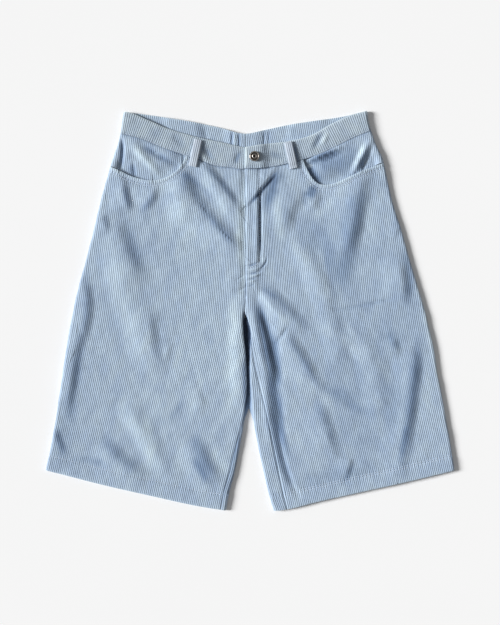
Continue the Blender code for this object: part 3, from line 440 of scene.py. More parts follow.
# Shallow creases of the underside, which rests flat, so they only dent it upward
UNDER_FOLDS = table(
    Fold,
    (-0.190, 0.180, -0.150, 0.100, -0.110, 0.030, 0.0005, 0.012, 0.012, 0.3, 0.0, 0.0),
    (-0.240, 0.020, -0.215, -0.080, -0.205, -0.170, 0.0005, 0.011, 0.013, 0.2, 0.0, 0.0),
    (-0.060, -0.010, -0.110, -0.060, -0.170, -0.090, 0.0005, 0.010, 0.012, 0.3, 0.3, 0.0),
    (-0.045, -0.100, -0.090, -0.170, -0.110, -0.250, 0.0004, 0.012, 0.010, 0.2, 0.0, 0.0),
    (-0.280, -0.150, -0.250, -0.200, -0.240, -0.250, 0.0004, 0.010, 0.012, 0.2, 0.0, 0.2),
    (0.060, -0.010, 0.105, -0.050, 0.150, -0.100, 0.0005, 0.010, 0.012, 0.3, 0.3, 0.0),
    (0.180, 0.170, 0.140, 0.110, 0.070, 0.060, 0.0005, 0.012, 0.011, 0.2, 0.0, 0.0),
    (0.240, 0.060, 0.225, -0.040, 0.240, -0.150, 0.0005, 0.012, 0.013, 0.2, 0.0, 0.0),
    (0.100, -0.120, 0.130, -0.190, 0.120, -0.260, 0.0004, 0.011, 0.012, 0.2, 0.0, 0.0),
    (0.280, -0.120, 0.270, -0.190, 0.285, -0.250, 0.0004, 0.009, 0.011, 0.2, 0.0, 0.1),
)
FOLD_STEPS = 12
FOLD_TAPER = 0.35

# Bands of painted shade, below 0, and painted light, above 0, mostly along the folds and creases, which make
# the colour deeper or lighter. Each runs like a fold and fades out over its reach.
Shade = namedtuple("Shade", "x0 y0 x1 y1 x2 y2 tone reach")
FRONT_SHADES = table(
    Shade,
    # left leg, deeper
    (-0.208, 0.213, -0.202, 0.186, -0.193, 0.160, -0.75, 0.009),
    (-0.242, 0.160, -0.237, 0.148, -0.230, 0.133, -0.35, 0.008),
    (-0.210, 0.163, -0.194, 0.105, -0.171, 0.040, -0.55, 0.021),
    (-0.160, 0.004, -0.158, -0.040, -0.145, -0.110, -0.30, 0.012),
    (-0.158, 0.200, -0.166, 0.178, -0.188, 0.162, -0.60, 0.009),
    (-0.122, 0.236, -0.096, 0.202, -0.066, 0.158, -0.60, 0.017),
    (-0.092, 0.188, -0.055, 0.142, -0.010, 0.093, -0.80, 0.013),
    (-0.085, 0.249, -0.046, 0.209, -0.008, 0.156, -0.80, 0.010),
    (-0.278, 0.066, -0.267, 0.010, -0.284, -0.075, -0.60, 0.013),
    (-0.277, -0.025, -0.288, -0.110, -0.300, -0.195, -0.80, 0.015),
    (-0.322, -0.184, -0.313, -0.215, -0.302, -0.243, -0.60, 0.011),
    (-0.254, 0.133, -0.250, 0.090, -0.243, 0.041, -0.25, 0.012),
    (-0.128, 0.000, -0.125, -0.020, -0.122, -0.045, -0.25, 0.010),
    (-0.106, -0.140, -0.122, -0.165, -0.140, -0.188, -0.45, 0.009),
    (-0.174, -0.205, -0.150, -0.235, -0.128, -0.270, -0.10, 0.012),
    (-0.252, -0.198, -0.218, -0.236, -0.172, -0.275, -0.60, 0.018),
    (-0.090, -0.190, -0.080, -0.238, -0.046, -0.295, -0.80, 0.020),
    (-0.301, -0.127, -0.305, -0.200, -0.314, -0.273, -0.30, 0.032),
    (-0.038, -0.323, -0.026, -0.250, -0.014, -0.177, -0.50, 0.010),
    (0.065, -0.020, 0.053, -0.040, 0.036, -0.060, -0.40, 0.006),
    (0.228, -0.101, 0.237, -0.150, 0.228, -0.211, -0.30, 0.022),
    (-0.130, 0.236, -0.089, 0.212, -0.048, 0.171, -0.60, 0.010),
    (-0.130, 0.200, -0.129, 0.186, -0.127, 0.170, -0.45, 0.009),
    (-0.298, -0.249, -0.262, -0.245, -0.226, -0.262, -0.50, 0.011),
    (-0.099, -0.232, -0.083, -0.262, -0.064, -0.290, -0.70, 0.011),
    # left leg, lighter
    (-0.085, 0.250, -0.085, 0.000, -0.095, -0.280, 0.16, 0.085),
    (-0.236, 0.133, -0.200, 0.015, -0.150, -0.135, 0.50, 0.028),
    (-0.090, 0.229, -0.052, 0.180, -0.008, 0.119, 0.40, 0.010),
    (-0.125, 0.205, -0.110, 0.150, -0.073, 0.101, 0.60, 0.034),
    (-0.153, 0.209, -0.135, 0.204, -0.114, 0.199, 0.40, 0.016),
    (-0.026, 0.046, -0.027, -0.060, -0.033, -0.214, 0.90, 0.024),
    (-0.226, -0.133, -0.176, -0.215, -0.132, -0.292, 0.75, 0.017),
    (-0.190, -0.102, -0.168, -0.145, -0.146, -0.182, 0.35, 0.013),
    (-0.165, -0.120, -0.150, -0.150, -0.138, -0.180, 0.30, 0.010),
    (-0.109, -0.044, -0.124, -0.090, -0.140, -0.136, 0.45, 0.009),
    (-0.104, -0.046, -0.091, -0.090, -0.076, -0.136, 0.35, 0.008),
    (-0.087, -0.132, -0.094, -0.163, -0.107, -0.195, 0.40, 0.008),
    (-0.110, -0.205, -0.117, -0.240, -0.122, -0.280, 0.30, 0.009),
    (-0.170, -0.152, -0.1665, -0.196, -0.147, -0.245, 0.75, 0.011),
    (-0.066, -0.220, -0.050, -0.246, -0.038, -0.270, 0.65, 0.014),
    (-0.0230, 0.138, -0.0170, 0.117, -0.0120, 0.095, 0.60, 0.011),
    (-0.0120, 0.068, -0.0105, 0.054, -0.0125, 0.036, 0.60, 0.007),
    (-0.0125, -0.004, -0.0120, -0.050, -0.0130, -0.100, 0.40, 0.007),
    (-0.012, 0.259, -0.013, 0.130, -0.013, -0.010, 0.85, 0.013),
    # fly and crotch
    (0.0162, 0.208, 0.0162, 0.150, 0.0162, 0.080, -2.00, 0.0032),
    (0.050, 0.235, 0.0225, 0.2015, -0.005, 0.1715, -1.80, 0.0046),
    (0.062, 0.232, 0.038, 0.202, 0.024, 0.150, -1.10, 0.018),
    (0.028, 0.240, 0.025, 0.222, 0.022, 0.206, -0.50, 0.0030),
    (0.003, 0.170, 0.003, 0.130, 0.003, 0.085, 0.10, 0.009),
    (0.004, 0.224, 0.004, 0.140, 0.004, 0.085, -0.12, 0.012),
    (-0.006, 0.0737, 0.0063, 0.0765, 0.0140, 0.0800, -1.00, 0.0026),
    (-0.004, 0.0614, 0.0099, 0.0630, 0.0206, 0.0677, -0.80, 0.0024),
    (-0.003, 0.0521, 0.0040, 0.0525, 0.0110, 0.0540, -0.80, 0.0024),
    (-0.002, 0.0413, 0.0030, 0.0421, 0.0080, 0.0440, -0.60, 0.0026),
    (0.0279, 0.0870, 0.0235, 0.0760, 0.0150, 0.0690, -0.90, 0.0030),
    (-0.005, 0.0667, 0.0083, 0.0686, 0.0206, 0.0728, 0.70, 0.0026),
    (-0.004, 0.0574, 0.0083, 0.0582, 0.0194, 0.0627, 0.70, 0.0024),
    (-0.003, 0.0483, 0.0030, 0.0490, 0.0090, 0.0505, 0.70, 0.0026),
    (0.0200, 0.0900, 0.0205, 0.0840, 0.0200, 0.0780, 0.60, 0.0040),
    (0.0130, 0.0420, 0.0300, 0.0300, 0.0480, 0.0180, -0.30, 0.0060),
    (-0.006, 0.257, -0.006, 0.140, -0.006, 0.024, -0.10, 0.004),
    (0.007, 0.037, 0.036, 0.004, 0.069, -0.030, 0.45, 0.007),
    (0.013, 0.046, 0.052, 0.014, 0.104, -0.046, -0.50, 0.014),
    (0.008, 0.018, 0.0275, -0.040, 0.0400, -0.130, -1.60, 0.0125),
    (-0.007, 0.085, -0.0068, 0.050, -0.0085, 0.005, -0.70, 0.0030),
    (0.004, 0.016, 0.017, -0.040, 0.026, -0.110, -0.45, 0.012),
    (0.037, -0.060, 0.039, -0.150, 0.046, -0.230, -1.05, 0.018),
    (0.040, -0.180, 0.051, -0.245, 0.075, -0.298, -0.80, 0.014),
    (0.0350, -0.020, 0.0440, -0.080, 0.0490, -0.135, -0.95, 0.011),
    (0.0490, -0.120, 0.0530, -0.195, 0.0710, -0.260, -0.80, 0.010),
    (0.0530, 0.222, 0.0480, 0.210, 0.0430, 0.195, 0.50, 0.009),
    (-0.0105, -0.060, -0.0095, -0.120, -0.0060, -0.190, -0.90, 0.0050),
    # right leg, deeper
    (0.148, 0.060, 0.172, -0.120, 0.195, -0.320, -0.28, 0.120),
    (0.130, 0.190, 0.148, 0.095, 0.172, 0.000, -0.35, 0.050),
    (0.100, 0.210, 0.102, 0.197, 0.092, 0.184, -1.30, 0.013),
    (0.062, 0.180, 0.060, 0.160, 0.075, 0.148, -0.30, 0.015),
    (0.191, 0.230, 0.177, 0.155, 0.160, 0.085, -0.80, 0.022),
    (0.168, 0.119, 0.158, 0.070, 0.145, 0.030, -0.40, 0.022),
    (0.082, 0.170, 0.115, 0.100, 0.150, 0.040, -0.45, 0.032),
    (0.225, 0.213, 0.243, 0.170, 0.245, 0.121, -0.50, 0.011),
    (0.247, 0.119, 0.262, 0.060, 0.252, -0.003, -0.60, 0.014),
    (0.128, -0.001, 0.188, 0.009, 0.259, 0.026, -0.35, 0.006),
    (0.062, -0.038, 0.085, -0.076, 0.118, -0.130, -0.60, 0.011),
    (0.096, -0.111, 0.145, -0.133, 0.206, -0.144, -0.25, 0.013),
    (0.098, -0.144, 0.127, -0.185, 0.148, -0.255, -0.35, 0.014),
    (0.114, -0.125, 0.160, -0.150, 0.216, -0.180, -0.35, 0.014),
    (0.224, -0.026, 0.236, -0.050, 0.248, -0.066, -0.50, 0.016),
    (0.278, -0.036, 0.268, -0.135, 0.247, -0.288, -0.80, 0.016),
    (0.173, -0.244, 0.163, -0.266, 0.156, -0.286, -0.50, 0.008),
    (0.223, 0.183, 0.262, 0.000, 0.296, -0.244, -0.20, 0.090),
    (0.258, -0.185, 0.253, -0.215, 0.246, -0.262, -0.55, 0.010),
    (0.172, 0.200, 0.160, 0.165, 0.148, 0.110, -0.45, 0.012),
    (0.094, 0.200, 0.090, 0.186, 0.086, 0.170, -0.50, 0.010),
    (0.0545, -0.282, 0.140, -0.272, 0.250, -0.250, -0.30, 0.024),
    # right leg, lighter
    (0.046, 0.196, 0.044, 0.150, 0.056, 0.104, 0.60, 0.013),
    (0.052, 0.111, 0.095, 0.080, 0.135, 0.037, 0.40, 0.017),
    (0.158, 0.213, 0.125, 0.170, 0.092, 0.152, 0.50, 0.011),
    (0.207, 0.219, 0.200, 0.140, 0.176, 0.042, 0.25, 0.022),
    (0.109, -0.022, 0.158, -0.055, 0.209, -0.107, 0.40, 0.017),
    (0.056, -0.092, 0.100, -0.124, 0.149, -0.170, 0.30, 0.013),
    (0.301, -0.047, 0.297, -0.120, 0.284, -0.218, 0.30, 0.017),
    # painted light on the right leg's rolled outer edge, which faces away from the light
    (0.243, 0.175, 0.2935, -0.020, 0.3350, -0.240, 1.20, 0.010),
    (0.150, -0.010, 0.177, -0.045, 0.205, -0.085, 0.30, 0.009),
    (0.069, -0.141, 0.074, -0.190, 0.081, -0.239, 0.25, 0.020),
    (0.109, 0.118, 0.122, 0.059, 0.133, 0.012, 0.55, 0.010),
)
# Painted shadow under the front's mouth edge and the waist seam, and painted shade and light on the facings'
# folds
FACING_SHADES = table(
    Shade,
    (0.078, 0.245, 0.145, 0.245, 0.200, 0.257, -0.75, 0.040),
    (0.086, 0.242, 0.118, 0.254, 0.157, 0.267, -0.90, 0.010),
    (0.092, 0.244, 0.104, 0.222, 0.124, 0.209, -1.10, 0.014),
    (0.198, 0.277, 0.186, 0.250, 0.174, 0.228, -0.60, 0.009),
    (0.193, 0.284, 0.178, 0.253, 0.163, 0.223, 1.30, 0.008),
    (0.081, 0.243, 0.120, 0.260, 0.163, 0.276, 0.60, 0.005),
    (-0.188, 0.281, -0.155, 0.258, -0.112, 0.236, -0.80, 0.010),
    (-0.205, 0.284, -0.173, 0.251, -0.139, 0.213, 0.90, 0.011),
    (-0.218, 0.290, -0.222, 0.262, -0.229, 0.238, 0.60, 0.008),
    (-0.213, 0.286, -0.211, 0.262, -0.213, 0.228, -0.90, 0.007),
    (-0.194, 0.246, -0.193, 0.231, -0.192, 0.218, -0.80, 0.010),
)
# Painted shade and light of the waistband's wrinkles, and painted shadow beside the front belt loops
BAND_SHADES = table(
    Shade,
    (-0.087, 0.275, -0.080, 0.258, -0.070, 0.241, 0.90, 0.007),
    (-0.078, 0.273, -0.067, 0.258, -0.056, 0.243, -0.65, 0.006),
    (-0.015, 0.267, -0.020, 0.252, -0.027, 0.240, -0.90, 0.006),
    (-0.133, 0.295, -0.115, 0.278, -0.103, 0.263, -0.40, 0.011),
    (-0.167, 0.306, -0.158, 0.294, -0.148, 0.282, -0.30, 0.014),
    (0.119, 0.295, 0.110, 0.280, 0.098, 0.260, -0.80, 0.008),
    (0.129, 0.299, 0.124, 0.286, 0.114, 0.271, 0.90, 0.007),
    (0.027, 0.263, 0.042, 0.256, 0.057, 0.249, -0.60, 0.009),
    (-0.006, 0.272, -0.006, 0.252, -0.006, 0.232, 0.60, 0.006),
    (-0.075, 0.284, -0.080, 0.258, -0.086, 0.236, -0.80, 0.0040),
    (0.071, 0.283, 0.076, 0.259, 0.082, 0.241, -0.90, 0.0040),
    (-0.204, 0.323, -0.209, 0.308, -0.213, 0.291, 0.50, 0.010),
)
# Painted shade and light of the back waistband's puckers
BACK_BAND_SHADES = table(
    Shade,
    (-0.030, 0.304, -0.030, 0.284, -0.030, 0.264, -0.70, 0.004),
    (-0.019, 0.302, -0.018, 0.282, -0.018, 0.262, -0.80, 0.004),
    (-0.025, 0.301, -0.025, 0.284, -0.025, 0.264, 0.70, 0.004),
    (0.023, 0.300, 0.023, 0.284, 0.022, 0.267, -0.60, 0.004),
    (0.031, 0.301, 0.031, 0.286, 0.031, 0.266, -0.50, 0.004),
    (-0.092, 0.315, -0.080, 0.298, -0.068, 0.283, -0.35, 0.014),
    (0.072, 0.309, 0.072, 0.294, 0.072, 0.279, -0.30, 0.012),
)
# The shade in the slit between the legs, which lies on the lower part of its walls
CROTCH_SHADES = table(
    Shade,
    (-0.006, 0.002, -0.006, -0.040, -0.005, -0.095, -3.20, 0.016),
    (-0.005, -0.040, -0.004, -0.110, -0.001, -0.190, -1.60, 0.014),
)

# Ovals in which the layers under the front lift it
Oval = namedtuple("Oval", "x y reach_x reach_y")
OVAL_PLATEAU = 0.55
POCKET_AREAS = (Oval(-0.165, 0.250, 0.105, 0.080), Oval(0.150, 0.250, 0.105, 0.080))
CENTRE_AREA = Oval(CENTRE_X, 0.120, 0.045, 0.190)
FLY_AREA = Oval(CENTRE_X, 0.150, 0.025, 0.150)

# Belt loops: on the front from their upper to their lower end, and under the back from their upper end down
FrontLoop = namedtuple("FrontLoop", "upper_x upper_y lower_x lower_y")
FRONT_LOOPS = {
    LEFT: FrontLoop(-0.0850, 0.2815, -0.0945, 0.2375),
    RIGHT: FrontLoop(0.0625, 0.2775, 0.0720, 0.2345),
}
BackLoop = namedtuple("BackLoop", "name x slant")
BACK_LOOPS = (
    BackLoop("belt_loop_back_left", -0.112, -0.10),
    BackLoop("belt_loop_back_middle", -0.010, 0.0),
    BackLoop("belt_loop_back_right", 0.096, 0.10),
)

# The button from its foot round to its open middle
Turning = namedtuple("Turning", "radius height")
BUTTON_PROFILE = table(
    Turning,
    (0.0055, 0.0), (0.0058, 0.0009), (0.0078, 0.0010), (0.0083, 0.0013), (BUTTON_RADIUS, 0.0019),
    (0.0084, 0.0026), (0.0081, 0.0032), (0.0077, 0.0036), (0.0071, 0.0037), (0.0065, 0.0036),
    (0.0061, 0.0033), (0.0058, 0.0027), (0.0054, 0.0025), (0.0044, 0.0024), (0.0038, 0.0025),
    (0.0034, 0.0029), (0.0029, 0.0031), (0.0024, 0.0030), (0.0021, 0.0026), (0.0019, 0.0019),
    (0.0015, 0.0017),
)

# How the edges of cut pieces are finished: how far the cloth turns in at the edge, over what distance,
# and how much deeper it is painted there, as painted shade in a seam's groove, or lighter, as wear and
# painted highlight on a folded edge
Edge = namedtuple("Edge", "dip reach wear")
NO_EDGE = Edge(0.0, 0.001, 0.0)
SEAM_EDGE = Edge(0.0005, 0.0018, -0.5)
INSEAM_EDGE = Edge(0.0006, 0.0022, -0.4)
FLY_EDGE = Edge(0.0010, 0.0026, 0.0)
FOLDED_EDGE = Edge(0.0008, 0.0016, 0.4)
BAND_EDGE = Edge(0.0010, 0.0018, 0.6)

# Rows of mesh points along the cords: how far the ones near each end are from it, how far apart the
# others are, and in how many parts those are split beside the fly, where the creases are small
Rows = namedtuple("Rows", "near_top near_hem apart fly_split")
FLY_ROWS_X = (-0.020, 0.055)
FLY_ROWS_Y = 0.030
TOP_ROWS = (0.0004, 0.0010, 0.0018, 0.0030, 0.0044, 0.0058, 0.0072, 0.0086, 0.0100, 0.0120)
HEM_ROWS = (0.0004, 0.0010, 0.0020, 0.0055, 0.0110, 0.0165, 0.0215, 0.0243, 0.0260, 0.0277, 0.0305)
END_ROWS = (0.0004, 0.0010, 0.0020)
FRONT_ROWS = Rows(TOP_ROWS, HEM_ROWS, 0.0043, 3)
BACK_ROWS = Rows(END_ROWS, HEM_ROWS, 0.0062, 1)
FACING_ROWS = Rows(END_ROWS, END_ROWS, 0.0040, 1)
BAND_ROWS = Rows(END_ROWS, END_ROWS, 0.0034, 1)
INNER_ROWS = Rows((0.0010,), (0.0010,), 0.0120, 1)

# Soft unevenness of the cloth as crossing waves
Wave = namedtuple("Wave", "along_x along_y phase share")
WAVES = table(
    Wave,
    (131.0, 58.0, 0.4, 0.22),
    (-97.0, 143.0, 2.1, 0.22),
    (212.0, -121.0, 4.0, 0.18),
    (61.0, 233.0, 1.2, 0.16),
    (-287.0, -83.0, 5.3, 0.12),
    (341.0, 197.0, 3.1, 0.10),
)

# Two waves that make the puckers beside a row of stitches uneven
PuckerWave = namedtuple("PuckerWave", "swing along")
PUCKER_WAVES = (PuckerWave(1.3, 61), PuckerWave(0.7, 137))

# One stitch from end to end: how far along, how thick for its thread, and how far over or into the cloth
Station = namedtuple("Station", "along girth lift")
STITCH_STATIONS = (
    Station(0.00, 0.6, -0.0004),
    Station(0.14, 1.0, 0.0000),
    Station(0.50, 1.1, 0.0001),
    Station(0.86, 1.0, 0.0000),
    Station(1.00, 0.6, -0.0004),
)


# ---- curves and blends ----


def curve(places, values):
    """A smooth function through a table's columns, level past both ends."""
    places = np.asarray(places, float)
    values = np.asarray(values, float)
    slopes = np.gradient(values, places)

    def at(x):
        x = np.clip(x, places[0], places[-1])
        i = np.clip(np.searchsorted(places, x) - 1, 0, len(places) - 2)
        step = places[i + 1] - places[i]
        t = (x - places[i]) / step
        rise = values[i + 1] - values[i]
        bend_in = slopes[i] * step - rise
        bend_out = rise - slopes[i + 1] * step
        return values[i] + t * rise + t * (1 - t) * ((1 - t) * bend_in + t * bend_out)

    return at


def curve_of(rows, place, value):
    rows = sorted(rows, key=lambda row: getattr(row, place))
    return curve([getattr(row, place) for row in rows], [getattr(row, value) for row in rows])


def curves_down(rows, *columns):
    """A curve over the height for each side, from the left column and the right one."""
    return {side: curve_of(rows, "y", column) for side, column in zip(SIDES, columns)}


def curves_across(levels):
    return {side: curve_of(levels[side], "x", "y") for side in SIDES}


def ramp(value, start, end):
    """0 before start, 1 past end, and a smooth step between."""
    t = np.clip((value - start) / (end - start), 0, 1)
    return t * t * (3 - 2 * t)


def fade(value, start, end):
    """1 before start, 0 past end, and a smooth step between."""
    return 1 - ramp(value, start, end)


INNER = curves_down(SECTIONS, "in_left", "in_right")
OUTER = curves_down(SECTIONS, "out_left", "out_right")
WRAP = curves_down(INSEAMS, "left", "right")
BAND_TOP_EDGE, WAIST_SEAM = curves_across(BAND_UPPER), curves_across(BAND_LOWER)
MOUTH, HEM_EDGE = curves_across(POCKET_MOUTH), curves_across(HEM)
BACK_TOP_EDGE, BACK_WAIST_SEAM = curve_of(BACK_UPPER, "x", "y"), curve_of(BACK_LOWER, "x", "y")
LEAN = curve_of(GRAIN, "y", "lean")


def mouth_path(side):
    """The pocket mouth's points, from the waist seam outward."""
    return np.asarray(sorted(POCKET_MOUTH[side], key=lambda row: abs(row.x)))


def front_top_edge(side):
    """The front panel's upper edge: the waist seam, then the pocket mouth out to the side."""
    corner_x = mouth_path(side)[0, 0]

    def at(x):
        seam = WAIST_SEAM[side](x)
        return np.where(side * x > side * corner_x, np.minimum(MOUTH[side](x), seam), seam)

    return at


def along_path(path, x, y):
    """The distance from each point to a path, positive on its left side, and how far along it the nearest
    place lies, 0 to 1."""
    nearest = np.full(np.shape(x), np.inf)
    signed = np.zeros(np.shape(x))
    along = np.zeros(np.shape(x))
    count = len(path) - 1
    for i in range(count):
        (ax, ay), (bx, by) = path[i], path[i + 1]
        dx, dy = bx - ax, by - ay
        t = np.clip(((x - ax) * dx + (y - ay) * dy) / (dx * dx + dy * dy), 0, 1)
        off_x, off_y = x - ax - t * dx, y - ay - t * dy
        distance = np.hypot(off_x, off_y)
        closer = distance < nearest
        nearest = np.where(closer, distance, nearest)
        signed = np.where(closer, np.copysign(distance, dx * off_y - dy * off_x), signed)
        along = np.where(closer, (i + t) / count, along)
    return signed, along


def off_path(path, x, y):
    return np.abs(along_path(path, x, y)[0])


def near_path(path, reach, x, y):
    """Which points lie in the box round a path, widened by its reach."""
    low, high = path.min(axis=0) - reach, path.max(axis=0) + reach
    return (x > low[0]) & (x < high[0]) & (y > low[1]) & (y < high[1])


def run_lengths(path):
    """How far along a path each of its points lies."""
    return np.concatenate([[0], np.cumsum(np.linalg.norm(np.diff(path, axis=0), axis=1))])


def resampled(path, apart):
    """A path's points at even distances."""
    travelled = run_lengths(path)
    at = np.linspace(0, travelled[-1], max(2, int(travelled[-1] / apart) + 1))
    return np.stack([np.interp(at, travelled, path[:, k]) for k in (0, 1)], axis=-1)


def fold_path(fold):
    """Points on the parabola that passes point 1 half-way."""
    t = np.linspace(0, 1, FOLD_STEPS + 1)
    lift = 4 * t * (1 - t)
    x = fold.x0 + (fold.x2 - fold.x0) * t + (fold.x1 - (fold.x0 + fold.x2) / 2) * lift
    y = fold.y0 + (fold.y2 - fold.y0) * t + (fold.y1 - (fold.y0 + fold.y2) / 2) * lift
    return np.stack([x, y], axis=-1)


def fold_height(fold, x, y):
    """A fold's part of the height, worked out only near it."""
    path = fold_path(fold)
    near = near_path(path, max(fold.left, fold.right), x, y)
    height = np.zeros(np.shape(x))
    signed, along = along_path(path, x[near], y[near])
    share = np.abs(signed) / np.where(signed > 0, fold.left, fold.right)
    soft = fade(share, 0, 1)
    pointed = np.clip(1 - share, 0, 1) ** 2
    start = ramp(along, 0, FOLD_TAPER) * (1 - fold.start) + fold.start
    end = ramp(1 - along, 0, FOLD_TAPER) * (1 - fold.end) + fold.end
    height[near] = fold.height * start * end * (soft + (pointed - soft) * fold.sharp)
    return height


def folds_at(folds, x, y):
    x, y = np.broadcast_arrays(np.asarray(x, float), np.asarray(y, float))
    return sum(fold_height(fold, x, y) for fold in folds)


# ---- heights ----


def even(height):
    return lambda x, y: height + 0 * x


flat_top, level = even(LEG_TOP), even(0)


def bump(oval, x, y):
    """1 in the middle of an oval and 0 outside it."""
    return fade(np.hypot((x - oval.x) / oval.reach_x, (y - oval.y) / oval.reach_y), OVAL_PLATEAU, 1)


def above_hem(x, y):
    return y - np.where(x < 0, HEM_EDGE[LEFT](x), HEM_EDGE[RIGHT](x))


def leg_top(x, y):
    """Height of the fronts' outer face, which never sinks into the layers under it."""
    pockets = sum(bump(oval, x, y) for oval in POCKET_AREAS)
    height = LEG_TOP + POCKET_RISE * pockets + CENTRE_RISE * bump(CENTRE_AREA, x, y)
    height = height + HEM_RISE * fade(above_hem(x, y), HEM_DEPTH - HEM_FADE, HEM_DEPTH + HEM_FADE)
    height = height + folds_at(FOLDS, x, y)
    least = LEAST_TOP + (FACING_DROP + GAP) * pockets + FLY_DIP * bump(FLY_AREA, x, y)
    least = least + folds_at(UNDER_FOLDS, x, y)
    return least + SOFTNESS * np.logaddexp(0, (height - least) / SOFTNESS)


def band_top(x, y):
    return BAND_TOP + folds_at(BAND_FOLDS, x, y)


def fly_zone(y):
    """1 along the fly and 0 from its end down."""
    return ramp(y, FLY_END_Y - FLY_RUN_OUT, FLY_END_Y)


def lapped(top, side, lift, dip, width, fading):
    """The height of a front at the fly: the right one's edge strip stands over the left one's underlap."""

    def at(x, y):
        if side == RIGHT:
            return top(x, y) + lift * fade(x, CENTRE_X + width, CENTRE_X + width + fading) * fly_zone(y)
        return top(x, y) - dip * ramp(x, CENTRE_X - DIP_START, CENTRE_X - DIP_FULL) * fly_zone(y)

    return at


def facing_top(side):
    """The pocket facing lies under the front's mouth edge and comes up to the waistband and the side."""
    mouth = mouth_path(side)
    corner_x = mouth[0, 0]

    def at(x, y):
        open_part = (side * x > side * corner_x) & (y > MOUTH[side](x))
        away = np.where(open_part, off_path(mouth, x, y), 0)
        from_side = side * (OUTER[side](y) - x)
        drop = (FACING_DROP + FACING_HOLLOW) * fade(away, MOUTH_DROP_FULL, MOUTH_DROP_END)
        drop = drop * ramp(from_side, SIDE_DROP_START, SIDE_DROP_FULL)
        return leg_top(x, y) - drop + folds_at(FACING_FOLDS, x, y) * ramp(away, *FACING_FOLDS_START)

    return at


def underside(x, y):
    """The back's outer face is level, but for its creases and where it bridges a belt loop."""
    height = 0 * x
    for loop in BACK_LOOPS:
        down = BACK_TOP_EDGE(loop.x) - BACK_LOOP_INSET - y
        beside = np.abs(x - loop.x + loop.slant * down) - LOOP_WIDTH / 2
        past = np.maximum(beside, down - LOOP_LENGTH - BRIDGE_BESIDE)
        height = np.maximum(height, (BACK_LOOP_CLOTH + GAP) * fade(past, BRIDGE_BESIDE, BRIDGE_REACH))
    return height + folds_at(UNDER_FOLDS, x, y)


# ---- the way across a leg, and the grain ----


def closed(y):
    """1 where a leg is a closed tube and 0 above the crotch."""
    return fade(y, CROTCH_CLOSED_Y, CROTCH_OPEN_Y)


def roll(arc):
    """How far inward cloth lies that is this far round a side from its outermost line, and its rise."""
    turn = np.clip(np.abs(arc) / SIDE_QUARTER, 0, 1) * math.pi / 2
    inward = SIDE_REACH * (1 - np.cos(turn)) + np.maximum(np.abs(arc) - SIDE_QUARTER, 0)
    return inward, np.sign(arc) * np.sin(turn)


def leg_width(side, y):
    """Cloth from the inner to the outer outermost line, over one face."""
    flat = side * (OUTER[side](y) - INNER[side](y))
    return flat + (1 + closed(y)) * (SIDE_QUARTER - SIDE_REACH)


def tucked(inward, lower_half, y):
    """How far inward the inner edge lies, with its lower half leaning over to meet the other leg."""
    space = np.maximum((INNER[RIGHT](y) - INNER[LEFT](y)) / 2 + TUCK_OVERLAP, 0)
    share = lower_half * closed(y) * ramp(y, TUCK_END_Y, TUCK_FULL_Y)
    return np.maximum(inward - share * (space + SIDE_REACH), np.minimum(inward, -space))


def place(side, face, across, y, top, bottom=underside):
    """Where cloth lies that is this far across one face of a leg, as x, y, z."""
    inward, rise = roll(across)
    shut = closed(y)
    inner_rise = 1 + shut * (rise - 1)
    lower_half = np.clip(-face * inner_rise, 0, 1) * fade(np.abs(across), SIDE_QUARTER, TUCK_REACH)
    inner_x = INNER[side](y) + side * tucked(shut * inward + (1 - shut) * across, lower_half, y)
    outward, outer_rise = roll(leg_width(side, y) - across)
    outer_x = OUTER[side](y) - side * outward
    nearer_inside = across < leg_width(side, y) / 2
    x = np.where(nearer_inside, inner_x, outer_x)
    rise = face * np.where(nearer_inside, inner_rise, outer_rise)
    low = bottom(x, y)
    return x, y, low + (top(x, y) - low) * (1 + rise) / 2


def flat_place(side, face, across, y):
    """Where cloth lies as if it had no folds."""
    return place(side, face, across, y, flat_top, level)


def wall_normals(side, face, across, y):
    """Outward directions of a leg's cloth as if it had no folds, from two short steps along it."""

    def point(a, b):
        return np.stack(flat_place(side, face, a, b), axis=-1)

    along = point(across, y + NORMAL_STEP) - point(across, y - NORMAL_STEP)
    sideways = point(across + NORMAL_STEP, y) - point(across - NORMAL_STEP, y)
    normals = np.cross(sideways, along) * side * face
    return normals / np.linalg.norm(normals, axis=-1, keepdims=True)


def lean(outward, y):
    """How far outward the grain has gone here, less beside the fly, where it runs down the edge."""
    beside_fly = GRAIN_CENTRE + (1 - GRAIN_CENTRE) * ramp(outward, 0, GRAIN_CENTRE_REACH)
    return LEAN(y) * np.where(y > CROTCH_Y, beside_fly, 1)


# How a piece's cords lie: across_of gives the way across for a wale and a height, and wale_of the wale
# for a way across and a height
Lay = namedtuple("Lay", "across_of wale_of")


def outward_shift(side, y):
    """The way across plus this is the distance outward from the middle of the garment, laid flat."""
    return side * INNER[side](y) - closed(y) * (SIDE_QUARTER - SIDE_REACH)


def leg_lay(side):
    """Cords down a leg, square to its hem."""

    def across_of(wale, y):
        outward = wale * PITCH + LEAN(y)
        for _ in range(GRAIN_STEPS):
            outward = wale * PITCH + lean(outward, y)
        return outward - outward_shift(side, y)

    def wale_of(across, y):
        outward = across + outward_shift(side, y)
        return (outward - lean(outward, y)) / PITCH

    return Lay(across_of, wale_of)


